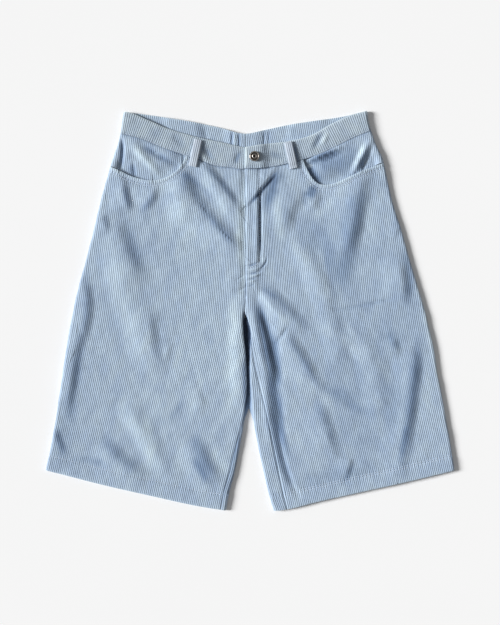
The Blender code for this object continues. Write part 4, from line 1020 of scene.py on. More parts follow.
def band_lay(side, upper, lower):
    """Cords across a waistband, square to its middle line."""

    def middle(x):
        return (upper(x) + lower(x)) / 2

    def tilt(outward, y):
        x = side * outward
        slope = (middle(x + BAND_SLOPE_REACH) - middle(x - BAND_SLOPE_REACH)) / (2 * BAND_SLOPE_REACH)
        return -side * slope * (y - middle(x))

    def across_of(wale, y):
        outward = wale * PITCH
        return outward + tilt(outward, y) - outward_shift(side, y)

    def wale_of(across, y):
        here = across + outward_shift(side, y)
        outward = here
        for _ in range(GRAIN_STEPS):
            outward = here - tilt(outward, y)
        return outward / PITCH

    return Lay(across_of, wale_of)


# ---- cutting cloth along its grain ----

# One piece cut from cloth that lies on one face of a leg. inner and outer give its seams across the leg
# for a height y, lower and upper its ends for a place x, and edges how each of the four is finished. welt
# is the path of a turned and stitched edge, where it has one.
Cut = namedtuple(
    "Cut", "name side face lay inner outer lower upper top thickness edges stitching welt shades steps rows"
)


def margins(cut, across, y):
    """How far a point lies inside the piece's inner, outer, lower and upper edges."""
    x, _, _ = flat_place(cut.side, cut.face, across, y)
    return np.stack([across - cut.inner(y), cut.outer(y) - across, y - cut.lower(x), cut.upper(x) - y])


def rows_on(cut, rows, x, highest, lowest):
    """Row heights along a line of the cloth at places x: some near each end and even ones between."""
    near_top = np.interp(rows.near_top, cut.upper(x) - HEIGHTS, HEIGHTS)
    near_hem = np.interp(rows.near_hem, (HEIGHTS - cut.lower(x))[::-1], HEIGHTS[::-1])
    upper = near_top[-1] - rows.apart / 2
    lower = near_hem[-1] + rows.apart / 2
    step = rows.apart / rows.fly_split
    steps = np.arange(math.ceil(lower / step), math.floor(upper / step) + 1)
    step_x = np.interp(steps * step, HEIGHTS[::-1], x[::-1])
    by_fly = (step_x > FLY_ROWS_X[0]) & (step_x < FLY_ROWS_X[1]) & (steps * step > FLY_ROWS_Y)
    between = steps[(steps % rows.fly_split == 0) | by_fly] * step
    found = np.concatenate([near_top, between, near_hem])
    return np.sort(found[(found < highest - LEAST_ROW) & (found > lowest + LEAST_ROW)])[::-1]


# A wale line on a piece: its heights from top to bottom, and which edges it ends on
Line = namedtuple("Line", "wale heights top_edge bottom_edge")
INNER_EDGE, OUTER_EDGE, LOWER_EDGE = range(3)


def crossing(inside, outer_sample, inner_sample):
    """The height at which a line passes an edge between two samples."""
    share = inside[outer_sample] / (inside[outer_sample] - inside[inner_sample])
    return HEIGHTS[outer_sample] + (HEIGHTS[inner_sample] - HEIGHTS[outer_sample]) * share


def lines_of(cut, rows, wales):
    """The wale lines that cross the piece."""
    across = cut.lay.across_of(wales[:, None], HEIGHTS[None, :])
    x, _, _ = flat_place(cut.side, cut.face, across, HEIGHTS[None, :])
    edges = margins(cut, across, np.broadcast_to(HEIGHTS, across.shape))
    inside = edges.min(axis=0)
    lines = []
    for i, wale in enumerate(wales):
        changes = np.flatnonzero(np.diff(np.concatenate([[0], inside[i] > 0, [0]]).astype(int)))
        if not len(changes):
            continue
        starts, ends = changes[::2], changes[1::2]
        longest = np.argmax(ends - starts)
        first, last = starts[longest], ends[longest] - 1
        if last - first < LEAST_SAMPLES:
            continue
        highest = crossing(inside[i], first - 1, first)
        lowest = crossing(inside[i], last + 1, last)
        heights = np.concatenate([[highest], rows_on(cut, rows, x[i], highest, lowest), [lowest]])
        lines.append(Line(wale, heights, edges[:, i, first - 1].argmin(), edges[:, i, last + 1].argmin()))
    return lines


def seam_rows(cut, rows, edge):
    """Rows along the inner or the outer seam, as wales and heights from top to bottom."""
    seam = (cut.inner, cut.outer)[edge]
    x, _, _ = flat_place(cut.side, cut.face, seam(HEIGHTS), HEIGHTS)
    heights = rows_on(cut, rows, x, HEIGHTS[0], HEIGHTS[-1])
    across = seam(heights)
    inside = margins(cut, across, heights)[LOWER_EDGE:].min(axis=0) > 0
    return cut.lay.wale_of(across, heights)[inside], heights[inside]


def zip_up(places_a, numbers_a, places_b, numbers_b):
    """Triangles between two lines of points, given by their places along the lines and their numbers."""
    triangles = []
    i = j = 0
    while i < len(numbers_a) - 1 or j < len(numbers_b) - 1:
        a_is_next = j == len(numbers_b) - 1
        if not a_is_next and i < len(numbers_a) - 1:
            a_is_next = places_a[i + 1] <= places_b[j + 1]
        if a_is_next:
            triangles.append((numbers_a[i], numbers_a[i + 1], numbers_b[j]))
            i += 1
        else:
            triangles.append((numbers_a[i], numbers_b[j + 1], numbers_b[j]))
            j += 1
    return triangles


class Layer:
    """One face of a cut piece: its points as wales and heights, its triangles and its edges' lines."""

    def __init__(self, cut, rows, wales):
        self.wales = []
        self.heights = []
        self.triangles = []
        self.lines = lines_of(cut, rows, wales)
        self.seams = [seam_rows(cut, rows, edge) for edge in (INNER_EDGE, OUTER_EDGE)]
        self.columns = [self.add([line.wale] * len(line.heights), line.heights) for line in self.lines]
        self.upper = [self.columns[0][0]]
        self.lower = [self.columns[0][-1]]
        for i in range(len(self.lines) - 1):
            self.join(i, i + 1)

    def add(self, wales, heights):
        start = len(self.wales)
        self.wales.extend(wales)
        self.heights.extend(heights)
        return list(range(start, len(self.wales)))

    def on_seam(self, edge, low, high):
        """New points on a seam between two heights, where a line's neighbour reaches further along it."""
        if edge not in (INNER_EDGE, OUTER_EDGE) or high <= low:
            return []
        wales, heights = self.seams[edge]
        chosen = (heights > low + LEAST_ROW) & (heights < high - LEAST_ROW)
        return self.add(wales[chosen], heights[chosen])

    def join(self, i, j):
        """Fills the strip between two neighbouring lines, out to the seams that they end on."""
        first, second = self.lines[i], self.lines[j]
        above_first = self.on_seam(first.top_edge, first.heights[0], second.heights[0])
        above_second = self.on_seam(second.top_edge, second.heights[0], first.heights[0])
        under_first = self.on_seam(first.bottom_edge, second.heights[-1], first.heights[-1])
        under_second = self.on_seam(second.bottom_edge, first.heights[-1], second.heights[-1])
        numbers_a = above_first + self.columns[i] + under_first
        numbers_b = above_second + self.columns[j] + under_second
        places_a = [-self.heights[n] for n in numbers_a]
        places_b = [-self.heights[n] for n in numbers_b]
        self.triangles += zip_up(places_a, numbers_a, places_b, numbers_b)
        self.upper += above_first[::-1] + above_second + [self.columns[j][0]]
        self.lower += under_first + under_second[::-1] + [self.columns[j][-1]]

    def edge_lines(self):
        """The layer's four edge lines, each with the points at which both faces have a column."""
        tops = {line.wale: column[0] for line, column in zip(self.lines, self.columns)}
        bottoms = {line.wale: column[-1] for line, column in zip(self.lines, self.columns)}
        first, last = self.columns[0], self.columns[-1]
        ends = {first[0]: 0, first[-1]: 1}, {last[0]: 0, last[-1]: 1}
        return (self.upper, tops), (self.lower, bottoms), (first, ends[0]), (last, ends[1])


def wales_across(steps):
    return (np.arange(*WALE_RANGE)[:, None] + np.asarray(steps)[None, :]).ravel()


def line_places(points, numbers, marks):
    """How far each point of a line lies along it, counted in its marked points."""
    travelled = run_lengths(points[numbers])
    marked = [i for i, number in enumerate(numbers) if number in marks]
    return np.interp(travelled, travelled[marked], np.arange(len(marked)))


def flipped(triangles):
    return [(a, c, b) for a, b, c in triangles]


def renumbered(triangles, start):
    return [(a + start, b + start, c + start) for a, b, c in triangles]


def form(cut, layer):
    """A layer's points on the solid's outer face, and their outward directions."""
    wales, heights = np.asarray(layer.wales), np.asarray(layer.heights)
    across = cut.lay.across_of(wales, heights)
    points = np.stack(place(cut.side, cut.face, across, heights, cut.top), axis=-1)
    return across, points, wall_normals(cut.side, cut.face, across, heights)


def rim(outer, outer_points, inner, inner_points):
    """Triangles between the edges of a piece's two faces, whose points are numbered one after the other."""
    start = len(outer.wales)
    triangles = []
    shared = {line.wale for line in inner.lines}
    for k, ((a, a_marks), (b, b_marks)) in enumerate(zip(outer.edge_lines(), inner.edge_lines())):
        if k < 2:
            a_marks = {number for wale, number in a_marks.items() if wale in shared}
            b_marks = set(b_marks.values())
        a_places = line_places(outer_points, a, a_marks)
        b_places = line_places(inner_points, b, b_marks)
        strip = zip_up(a_places, a, b_places, [start + number for number in b])
        triangles += strip if k in (0, 3) else flipped(strip)
    return triangles


# ---- the cloth's surface ----


def furrow_depth(wale):
    """How far the cloth lies under the cords' crests."""
    return WALE_DEPTH * (1 - np.abs(np.sin(math.pi * wale)) ** WALE_ROUNDNESS)


def rumple(x, y):
    """Soft unevenness of the cloth, -1 to 1."""
    return sum(wave.share * np.sin(wave.along_x * x + wave.along_y * y + wave.phase) for wave in WAVES)


def groove(path, x, y):
    """How deep a row of stitches pulls the cloth in, with small puckers beside it."""
    near = near_path(path, PUCKER_REACH, x, y)
    depth = np.zeros(np.shape(x))
    signed, along = along_path(path, x[near], y[near])
    travelled = along * run_lengths(path)[-1]
    away = np.abs(signed)
    pull = STITCH_DEPTH * fade(away, 0, STITCH_REACH)
    turn = 2 * math.pi * travelled / PUCKER_LENGTH
    for wave in PUCKER_WAVES:
        turn = turn + wave.swing * np.sin(wave.along * travelled)
    pucker = PUCKER_DEPTH * (0.5 + 0.5 * np.sin(turn)) * fade(away, STITCH_REACH / 2, PUCKER_REACH)
    depth[near] = pull + pucker
    return depth


def depth_at(cut, wales, across, points):
    """How far the cloth's outer face lies inside its solid's."""
    x, y = points[:, 0], points[:, 1]
    inside = margins(cut, across, y)
    relief = EDGE_RELIEF + (1 - EDGE_RELIEF) * ramp(inside.min(axis=0), 0, EDGE_FLATTENING)
    depth = furrow_depth(wales) * relief
    for edge, distance in zip(cut.edges, inside):
        depth = depth + edge.dip * fade(distance, 0, edge.reach)
    for path in cut.stitching:
        depth = depth + groove(path, x, y)
    if cut.welt is not None:
        depth = depth - WELT_RISE * fade(off_path(cut.welt, x, y), WELT_FULL, WELT_END)
    return depth + RUMPLE_DEPTH * (1 + rumple(x, y)) / 2


def shades_at(shades, x, y):
    """How light or deep the bands make the colour, each taken as a fold whose height is its tone."""
    return folds_at([Fold(*shade, shade.reach, 0, 0, 0) for shade in shades], x, y)


def shade_and_wear_at(cut, across, points):
    """How light, above 0, from painted light and wear, or deep, below 0, from painted shade, the colour is.
    """
    x, y, z = points.T
    wear = shades_at(cut.shades, x, y) * ramp(z, *FACING_UP)
    # painted shadow in the slit between the legs, on the lower part of its walls
    wear = wear + shades_at(CROTCH_SHADES, x, y) * fade(z, *SLIT_WALL) * ramp(z, *BESIDE_FLOOR)
    # painted shade in the seams' grooves, and wear with painted highlight on folded edges
    for edge, distance in zip(cut.edges, margins(cut, across, y)):
        wear = wear + edge.wear * fade(distance, 0, EDGE_SHADE_AND_WEAR_REACH)
    # painted shade in the grooves of the stitch rows
    for path in cut.stitching:
        wear = wear + STITCH_GROOVE_SHADE * fade(off_path(path, x, y), 0, STITCH_REACH)
    # wear and painted highlight on the pocket mouth's rolled edge
    if cut.welt is not None:
        wear = wear + WELT_LIGHT_AND_WEAR * fade(off_path(cut.welt, x, y), 0, WELT_LIGHT_AND_WEAR_REACH)
    return wear


# Shells carry, as their last field, each point's painted shade and painted light, with the cloth's wear
Shell = namedtuple("Shell", "points triangles grain wear")


def build_cut(cut, inside_shows=False):
    """A closed shell for one cut piece."""
    outer = Layer(cut, cut.rows, wales_across(cut.steps))
    first, last = outer.lines[0].wale, outer.lines[-1].wale
    if inside_shows:
        inner = outer
    else:
        whole = np.arange(math.floor(first) + 1, math.ceil(last))
        inner = Layer(cut, INNER_ROWS, np.concatenate([[first], whole, [last]]))
    across, outer_form, outer_normals = form(cut, outer)
    depth = depth_at(cut, np.asarray(outer.wales), across, outer_form)
    outer_points = outer_form - outer_normals * depth[:, None]
    inner_across, inner_form, inner_normals = form(cut, inner)
    thick = cut.thickness(inner_form)
    if inside_shows:
        thick = thick - furrow_depth(np.asarray(inner.wales))
    inner_points = inner_form - inner_normals * thick[:, None]
    behind = renumbered(inner.triangles, len(outer_points))
    triangles = outer.triangles + flipped(behind) + rim(outer, outer_form, inner, inner_form)
    if cut.side * cut.face < 0:
        triangles = flipped(triangles)
    points = np.concatenate([outer_points, inner_points])
    wales = np.concatenate([outer.wales, inner.wales])
    heights = np.concatenate([outer.heights, inner.heights])
    wear = np.concatenate([shade_and_wear_at(cut, across, outer_points), shade_and_wear_at(cut, inner_across, inner_points)])
    return Shell(points, triangles, np.stack([wales, heights / PITCH], axis=-1), wear)


def joined(shells):
    """Several shells as one."""
    starts = np.cumsum([0] + [len(shell.points) for shell in shells])
    triangles = []
    for start, shell in zip(starts, shells):
        triangles += renumbered(shell.triangles, start)
    fields = ([getattr(shell, field) for shell in shells] for field in ("points", "grain", "wear"))
    points, grain, wear = map(np.concatenate, fields)
    return Shell(points, triangles, grain, wear)


def add_object(name, data):
    thing = bpy.data.objects.new(name, data)
    bpy.context.collection.objects.link(thing)
    return thing


def add_piece(name, shell, material):
    """A mesh object with its cloth coordinates and its painted shade, painted light and wear, riding on the
    frame.
    """
    mesh = bpy.data.meshes.new(name)
    mesh.vertices.add(len(shell.points))
    mesh.vertices.foreach_set("co", shell.points.ravel())
    corners = np.asarray(shell.triangles, dtype=np.int32)
    mesh.loops.add(corners.size)
    mesh.loops.foreach_set("vertex_index", corners.ravel())
    mesh.polygons.add(len(corners))
    mesh.polygons.foreach_set("loop_start", np.arange(len(corners), dtype=np.int32) * 3)
    mesh.update(calc_edges=True)
    layer = mesh.uv_layers.new(name="grain")
    layer.data.foreach_set("uv", shell.grain[corners.ravel()].astype(np.float32).ravel())
    wear = mesh.attributes.new("wear", "FLOAT", "POINT")
    wear.data.foreach_set("value", np.asarray(shell.wear, dtype=np.float32))
    mesh.shade_smooth()
    mesh.set_sharp_from_angle(angle=SHARP)
    mesh.materials.append(material)
    piece = add_object(name, mesh)
    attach(piece, "root")
    return piece


# ---- the cut pieces ----


def moved(edge, distance):
    return lambda at: edge(at) + distance


def panel_thickness(points):
    """The cloth is doubled where the hem is turned up."""
    above = above_hem(points[:, 0], points[:, 1])
    return CLOTH + (HEM_CLOTH - CLOTH) * fade(above, HEM_DEPTH, HEM_DEPTH + HEM_FADE)


def even_thickness(thickness):
    return lambda points: np.full(len(points), thickness)


def stitching_over(seam, start, end, rise):
    """A row of stitches a given height over a seam or a hem's edge, between two places."""
    x = np.linspace(*sorted([start, end]), STITCHING_POINTS)
    return np.stack([x, seam(x) + rise], axis=-1)


def hem_stitching(side):
    """The rows of stitches over a hem, from side to side."""
    start = INNER[side](HEM_STITCHES_Y) + side * HEM_STITCHES_INSET[0]
    end = OUTER[side](HEM_STITCHES_Y) - side * HEM_STITCHES_INSET[1]
    return [stitching_over(HEM_EDGE[side], start, end, rise) for rise in HEM_STITCHES[side]]


def mouth_stitching(side, inset):
    """A row of stitches along the pocket mouth, on the front, from the waist seam to the outseam."""
    path = resampled(mouth_path(side), MOUTH_POINTS_APART)
    step = np.gradient(path, axis=0)
    step = step / np.linalg.norm(step, axis=1, keepdims=True)
    below = np.stack([side * step[:, 1], -side * step[:, 0]], axis=-1)
    return path + below * inset


def cut_piece(name, side, face, **details):
    """A cut piece that reaches to the outseam, with what most pieces share."""
    shared = {
        "lay": leg_lay(side),
        "outer": lambda y: leg_width(side, y) - GAP / 2,
        "stitching": [],
        "welt": None,
        "steps": WALE_COLUMNS,
    }
    return Cut(name=name, side=side, face=face, **{**shared, **details})


def front_cut(side):
    def inner(y):
        seam = WRAP[side](y) + GAP / 2
        if side == RIGHT:
            return seam
        run_out = ramp(y, CROTCH_TOP_Y, CROTCH_TOP_Y + FLY_RUN_OUT)
        return seam + (lean(0, y) - lean(0, CROTCH_TOP_Y)) * run_out

    stitching = hem_stitching(side) + [mouth_stitching(side, inset) for inset in MOUTH_STITCHES]
    if side == RIGHT:
        stitching.append(np.asarray(FLY_STITCHES))
    return cut_piece(
        f"front_panel_{SIDE_NAMES[side]}",
        side,
        FRONT,
        inner=inner,
        lower=HEM_EDGE[side],
        upper=moved(front_top_edge(side), -GAP / 2),
        top=lapped(leg_top, side, FLY_LIFT, FLY_DIP, FLY_WIDTH, FLY_FADE),
        thickness=panel_thickness,
        edges=(FLY_EDGE if side == RIGHT else INSEAM_EDGE, SEAM_EDGE, FOLDED_EDGE, SEAM_EDGE),
        stitching=stitching,
        welt=mouth_path(side),
        shades=FRONT_SHADES,
        rows=FRONT_ROWS,
    )


def back_cut(side):
    return cut_piece(
        f"back_panel_{SIDE_NAMES[side]}",
        side,
        BACK,
        inner=lambda y: GAP / 2 - closed(y) * WRAP[side](y),
        lower=HEM_EDGE[side],
        upper=moved(BACK_WAIST_SEAM, -GAP / 2),
        top=leg_top,
        thickness=panel_thickness,
        edges=(INSEAM_EDGE, SEAM_EDGE, FOLDED_EDGE, SEAM_EDGE),
        stitching=hem_stitching(side),
        shades=FRONT_SHADES,
        steps=BACK_WALE_COLUMNS,
        rows=BACK_ROWS,
    )


def facing_lower_edge(side):
    """The mouth's curve, moved under the front by the overlap, which runs out at the side."""
    x, y = mouth_path(side).T
    slope_x, slope_y = np.gradient(x), np.gradient(y)
    length = np.hypot(slope_x, slope_y)
    overlap = FACING_OVERLAP * ramp(side * (OUTER[side](y) - x), OVERLAP_START, OVERLAP_FULL)
    x = x + side * slope_y / length * overlap
    y = y - side * slope_x / length * overlap
    order = np.argsort(x)
    return curve(x[order], y[order]), x[0]


def facing_cut(side):
    lower, inner_x = facing_lower_edge(side)
    return cut_piece(
        f"pocket_facing_{SIDE_NAMES[side]}",
        side,
        FRONT,
        inner=lambda y: side * (inner_x - INNER[side](y)) + GAP / 2,
        lower=moved(lower, GAP / 2),
        upper=moved(WAIST_SEAM[side], -GAP / 2),
        top=facing_top(side),
        thickness=even_thickness(CLOTH),
        edges=(NO_EDGE, SEAM_EDGE, NO_EDGE, SEAM_EDGE),
        shades=FACING_SHADES,
        rows=FACING_ROWS,
    )


def front_band_cut(side):
    start, end = CENTRE_X + side * BAND_STITCHES_ENDS[0], side * BAND_STITCHES_ENDS[1]
    underlap = BAND_UNDERLAP if side == LEFT else 0
    return cut_piece(
        f"waistband_front_{SIDE_NAMES[side]}",
        side,
        FRONT,
        lay=band_lay(side, BAND_TOP_EDGE[side], WAIST_SEAM[side]),
        inner=lambda y: 0 * y - underlap + GAP / 2,
        lower=moved(WAIST_SEAM[side], GAP / 2),
        upper=BAND_TOP_EDGE[side],
        top=lapped(band_top, side, BAND_LIFT, BAND_DIP, BAND_LAP_WIDTH, BAND_FADE),
        thickness=even_thickness(BAND_CLOTH),
        edges=(BAND_EDGE, SEAM_EDGE, SEAM_EDGE, BAND_EDGE),
        stitching=[stitching_over(WAIST_SEAM[side], start, end, BAND_STITCH_RISE)],
        shades=BAND_SHADES,
        rows=BAND_ROWS,
    )


def back_band_cut(side):
    return cut_piece(
        "waistband_back",
        side,
        BACK,
        lay=band_lay(side, BACK_TOP_EDGE, BACK_WAIST_SEAM),
        inner=lambda y: MIDDLE_GAP / 2 + 0 * y,
        lower=moved(BACK_WAIST_SEAM, GAP / 2),
        upper=BACK_TOP_EDGE,
        top=even(BAND_TOP),
        thickness=lambda points: BAND_CLOTH + folds_at(BACK_BAND_FOLDS, points[:, 0], points[:, 1]),
        edges=(NO_EDGE, SEAM_EDGE, SEAM_EDGE, BAND_EDGE),
        shades=BACK_BAND_SHADES,
        rows=BAND_ROWS,
    )


# ---- belt loops and button ----


def grid_triangles(rows, columns):
    triangles = []
    for row in range(rows - 1):
        for corner in range(row * columns, (row + 1) * columns - 1):
            triangles.append((corner, corner + columns, corner + columns + 1))
            triangles.append((corner, corner + columns + 1, corner + 1))
    return triangles


def grid_rim(rows, columns):
    """Triangles between the edges of two like grids, one after the other."""
    size = rows * columns
    left = [row * columns for row in range(rows)]
    right = [row * columns + columns - 1 for row in range(rows)]
    ring = left + list(range(left[-1] + 1, right[-1])) + right[::-1] + list(range(columns - 2, 0, -1))
    triangles = []
    for a, b in zip(ring, ring[1:] + ring[:1]):
        triangles.append((a, a + size, b + size))
        triangles.append((a, b + size, b))
    return triangles


def strip_shell(centre, along, thickness, up, ground):
    """A closed strip with cords along it, of the loops' width. centre and along give its upper end and its
    run, and ground the height of its outer face for a share of the way down, a way across and a place."""
    length = np.linalg.norm(along)
    direction = np.asarray(along) / length
    down = np.linspace(0, length, LOOP_ROWS)[:, None]
    across = LOOP_COLUMNS[None, :] * LOOP_WIDTH / 2
    x = centre[0] + direction[0] * down - up * direction[1] * across
    y = centre[1] + direction[1] * down + up * direction[0] * across
    share = np.broadcast_to(down / length, x.shape)
    wales = np.broadcast_to(across / LOOP_PITCH, x.shape)
    edge = LOOP_WIDTH / 2 - np.abs(across)
    cords = furrow_depth(wales) * ramp(edge, 0, EDGE_FLATTENING)
    rounding = LOOP_ROUNDING * fade(edge, 0, LOOP_ROUNDING_REACH)
    z = ground(share, across, x, y)
    outer = np.stack([x, y, z - up * (cords + rounding)], axis=-1)
    inner = np.stack([x, y, z - up * thickness], axis=-1)
    face = grid_triangles(*x.shape)
    triangles = face + flipped(renumbered(face, x.size)) + grid_rim(*x.shape)
    grain = np.stack([wales, down / PITCH + 0 * wales], axis=-1).reshape(-1, 2)
    points = np.concatenate([outer.reshape(-1, 3), inner.reshape(-1, 3)])
    return Shell(points, triangles, np.concatenate([grain, grain]), np.zeros(len(points)))


def front_loop_shell(side):
    loop = FRONT_LOOPS[side]

    def ground(share, across, x, y):
        below = WAIST_SEAM[side](x) - y
        floor = BAND_TOP + (leg_top(x, y) - BAND_TOP) * ramp(below, *LOOP_STEP)
        bow = LOOP_ARCH * np.sin(math.pi * share) + LOOP_CROWN * (1 - (2 * across / LOOP_WIDTH) ** 2)
        return floor + 2 * GAP + LOOP_CLOTH + bow

    run = (loop.lower_x - loop.upper_x, loop.lower_y - loop.upper_y)
    return strip_shell((loop.upper_x, loop.upper_y), run, LOOP_CLOTH, 1, ground)


def back_loop_shell(loop):
    upper = (loop.x, BACK_TOP_EDGE(loop.x) - BACK_LOOP_INSET)
    run = (-loop.slant * LOOP_LENGTH, -LOOP_LENGTH)
    return strip_shell(upper, run, BACK_LOOP_CLOTH, -1, lambda share, across, x, y: 0 * x)


def steps_round(rings, sides):
    """The numbers of each two neighbouring points on the rings of a tube, but for its last ring."""
    for ring in range(rings - 1):
        for i in range(sides):
            yield ring * sides + i, ring * sides + (i + 1) % sides


def button_shell():
    """The turned shank button on the lapped waistband."""
    x, y = BUTTON_CENTRE
    foot = BAND_TOP + BAND_LIFT + GAP
    turns = np.arange(BUTTON_SEGMENTS) * 2 * math.pi / BUTTON_SEGMENTS
    radii, heights = np.asarray(BUTTON_PROFILE).T[:, :, None]
    ring_x = x + radii * np.cos(turns)[None, :]
    ring_y = y + radii * np.sin(turns)[None, :]
    ring_z = foot + heights + 0 * ring_x
    points = np.stack([ring_x, ring_y, ring_z], axis=-1).reshape(-1, 3)
    triangles = []
    for a, b in steps_round(len(BUTTON_PROFILE), BUTTON_SEGMENTS):
        triangles.append((a, b, b + BUTTON_SEGMENTS))
        triangles.append((a, b + BUTTON_SEGMENTS, a + BUTTON_SEGMENTS))
    foot_centre, top_centre = len(points), len(points) + 1
    points = np.concatenate([points, [(x, y, foot), (x, y, foot + BUTTON_PROFILE[-1].height)]])
    last = (len(BUTTON_PROFILE) - 1) * BUTTON_SEGMENTS
    for i, j in steps_round(2, BUTTON_SEGMENTS):
        triangles.append((j, i, foot_centre))
        triangles.append((last + i, last + j, top_centre))
    grain = (points[:, :2] - np.asarray(BUTTON_CENTRE)) / BUTTON_RADIUS
    return Shell(points, triangles, grain, np.zeros(len(points)))


# ---- stitches ----


def surface_finder(shell, face):
    """Gives the height of a shell's cloth at a place, seen from above a front or from below a back."""
    tree = BVHTree.FromPolygons(shell.points.tolist(), shell.triangles)

    def at(x, y):
        hit = tree.ray_cast(Vector((x, y, face)), Vector((0, 0, -face)))[0]
        return None if hit is None else hit.z

    return at


def stitch_shell(start, end, face):
    """One stitch as a short bowed thread between two places on the cloth."""
    start, end = np.asarray(start), np.asarray(end)
    run = end[:2] - start[:2]
    sideways = np.array([-run[1], run[0]]) / np.linalg.norm(run)
    turns = np.arange(THREAD_SIDES) * 2 * math.pi / THREAD_SIDES
    crown = max(face * start[2], face * end[2])
    points = []
    for station in STITCH_STATIONS:
        middle = start[:2] + run * station.along
        centre_z = crown + station.lift
        radius = THREAD_RADIUS * station.girth
        for turn in turns:
            x, y = middle + sideways * radius * math.cos(turn)
            points.append((x, y, face * (centre_z + radius * math.sin(turn))))
    triangles = []
    for a, b in steps_round(len(STITCH_STATIONS), THREAD_SIDES):
        triangles.append((a, a + THREAD_SIDES, b))
        triangles.append((b, a + THREAD_SIDES, b + THREAD_SIDES))
    last = (len(STITCH_STATIONS) - 1) * THREAD_SIDES
    for i in range(1, THREAD_SIDES - 1):
        triangles.append((0, i, i + 1))
        triangles.append((last, last + i + 1, last + i))
    if face < 0:
        triangles = flipped(triangles)
    count = len(points)
    along = np.repeat([station.along for station in STITCH_STATIONS], THREAD_SIDES)
    grain = np.stack([along, np.zeros(count)], axis=-1)
    return Shell(np.asarray(points), triangles, grain, np.zeros(count))


def stitch_row(path, surface, face):
    """Stitches along a path, wherever there is cloth under both ends."""
    places = resampled(path, STITCH_APART)
    shells = []
    for here, there in zip(places[:-1], places[1:]):
        end = here + (there - here) * STITCH_LENGTH / STITCH_APART
        heights = surface(*here), surface(*end)
        if None not in heights:
            shells.append(stitch_shell((*here, heights[0]), (*end, heights[1]), face))
    return shells


# ---- materials ----


class Tree:
    """Short ways to add and link the nodes of a material."""

    def __init__(self, name):
        self.material = bpy.data.materials.new(name)
        self.material.use_nodes = True
        self.nodes = self.material.node_tree.nodes
        self.links = self.material.node_tree.links

    def add(self, kind, inputs=(), **settings):
        node = self.nodes.new(kind)
        for key, value in settings.items():
            setattr(node, key, value)
        for key, value in dict(inputs).items():
            self.feed(node, key, value)
        return node

    def feed(self, node, key, value):
        if isinstance(value, bpy.types.NodeSocket):
            self.links.new(value, node.inputs[key])
        else:
            node.inputs[key].default_value = value

    def grain(self):
        return self.add("ShaderNodeUVMap", uv_map="grain").outputs["UV"]

    def position(self):
        return self.add("ShaderNodeTexCoord").outputs["Object"]

    def math(self, operation, first, second=0.0):
        return self.add("ShaderNodeMath", {0: first, 1: second}, operation=operation).outputs[0]

    def spread(self, value, low, high, least=0.0, most=1.0):
        inputs = {"Value": value, "From Min": low, "From Max": high, "To Min": least, "To Max": most}
        return self.add("ShaderNodeMapRange", inputs).outputs["Result"]

    def noise(self, vector, noise):
        """A noise's plain value, and that value spread over its range."""
        stretched = self.add("ShaderNodeMapping", {"Vector": vector, "Scale": noise.stretch}).outputs[0]
        inputs = {"Vector": stretched, "Scale": noise.scale, "Detail": noise.detail}
        plain = self.add("ShaderNodeTexNoise", inputs).outputs["Fac"]
        return plain, self.spread(plain, noise.low, noise.high, noise.least, noise.most)

    def mix(self, share, first, second, blend="MIX"):
        node = self.add("ShaderNodeMix", data_type="RGBA", blend_type=blend)
        self.feed(node, "Factor", share)
        self.feed(node, MIX_FIRST, first)
        self.feed(node, MIX_SECOND, second)
        return node.outputs[MIX_RESULT]

    def tinted(self, colour, tint):
        return self.mix(1.0, colour, tint, "MULTIPLY")

    def grey(self, value):
        return self.add("ShaderNodeCombineColor", {0: value, 1: value, 2: value}).outputs[0]

    def finished(self, colour, finish, relief=None, strength=0.0, distance=0.0):
        """The material with its colour, the values of its finish and the small relief of its surface."""
        shader = self.nodes["Principled BSDF"]
        self.feed(shader, "Base Color", colour)
        for socket, value in finish.items():
            self.feed(shader, socket, value)
        if relief is not None:
            inputs = {"Height": relief, "Strength": strength, "Distance": distance}
            self.feed(shader, "Normal", self.add("ShaderNodeBump", inputs).outputs[0])
        return self.material


def shaded_and_worn(tree, colour):
    """The colour made lighter by painted light and wear, and deeper by painted shade and shadow."""
    wear = tree.add("ShaderNodeAttribute", attribute_name="wear").outputs["Fac"]
    deep, sunken, light = (tree.tinted(colour, tint) for tint in (DEEP, SUNKEN, LIGHTEST))
    colour = tree.mix(tree.spread(wear, 0, -1), colour, deep)
    colour = tree.mix(tree.spread(wear, -1, -2), colour, sunken)
    return tree.mix(tree.spread(wear, 0, 1), colour, light)


def corduroy(name, crest, furrow):
    tree = Tree(name)
    grain = tree.grain()
    parts = tree.add("ShaderNodeSeparateXYZ", {0: grain})
    wave = tree.math("SINE", tree.math("MULTIPLY", parts.outputs["X"], math.pi))
    height = tree.math("POWER", tree.math("ABSOLUTE", wave), CREST_TONE_ROUNDNESS)
    _, streaky = tree.noise(grain, STREAKS)
    _, nap = tree.noise(grain, NAP)
    fine, speckle = tree.noise(grain, FIBRES)
    # The furrows are coloured deeper than the crests, partly as painted shade in the furrows
    colour = tree.mix(height, furrow, crest)
    colour = tree.tinted(colour, tree.grey(tree.math("MULTIPLY", streaky, speckle)))
    colour = tree.tinted(colour, tree.mix(nap, NAP_DOWN, NAP_UP))
    return tree.finished(shaded_and_worn(tree, colour), CLOTH_FINISH, fine, *FIBRE_RELIEF)


def sewing_thread(name):
    tree = Tree(name)
    twist, shade = tree.noise(tree.position(), TWIST)
    return tree.finished(tree.tinted(THREAD, tree.grey(shade)), THREAD_FINISH, twist, *THREAD_RELIEF)


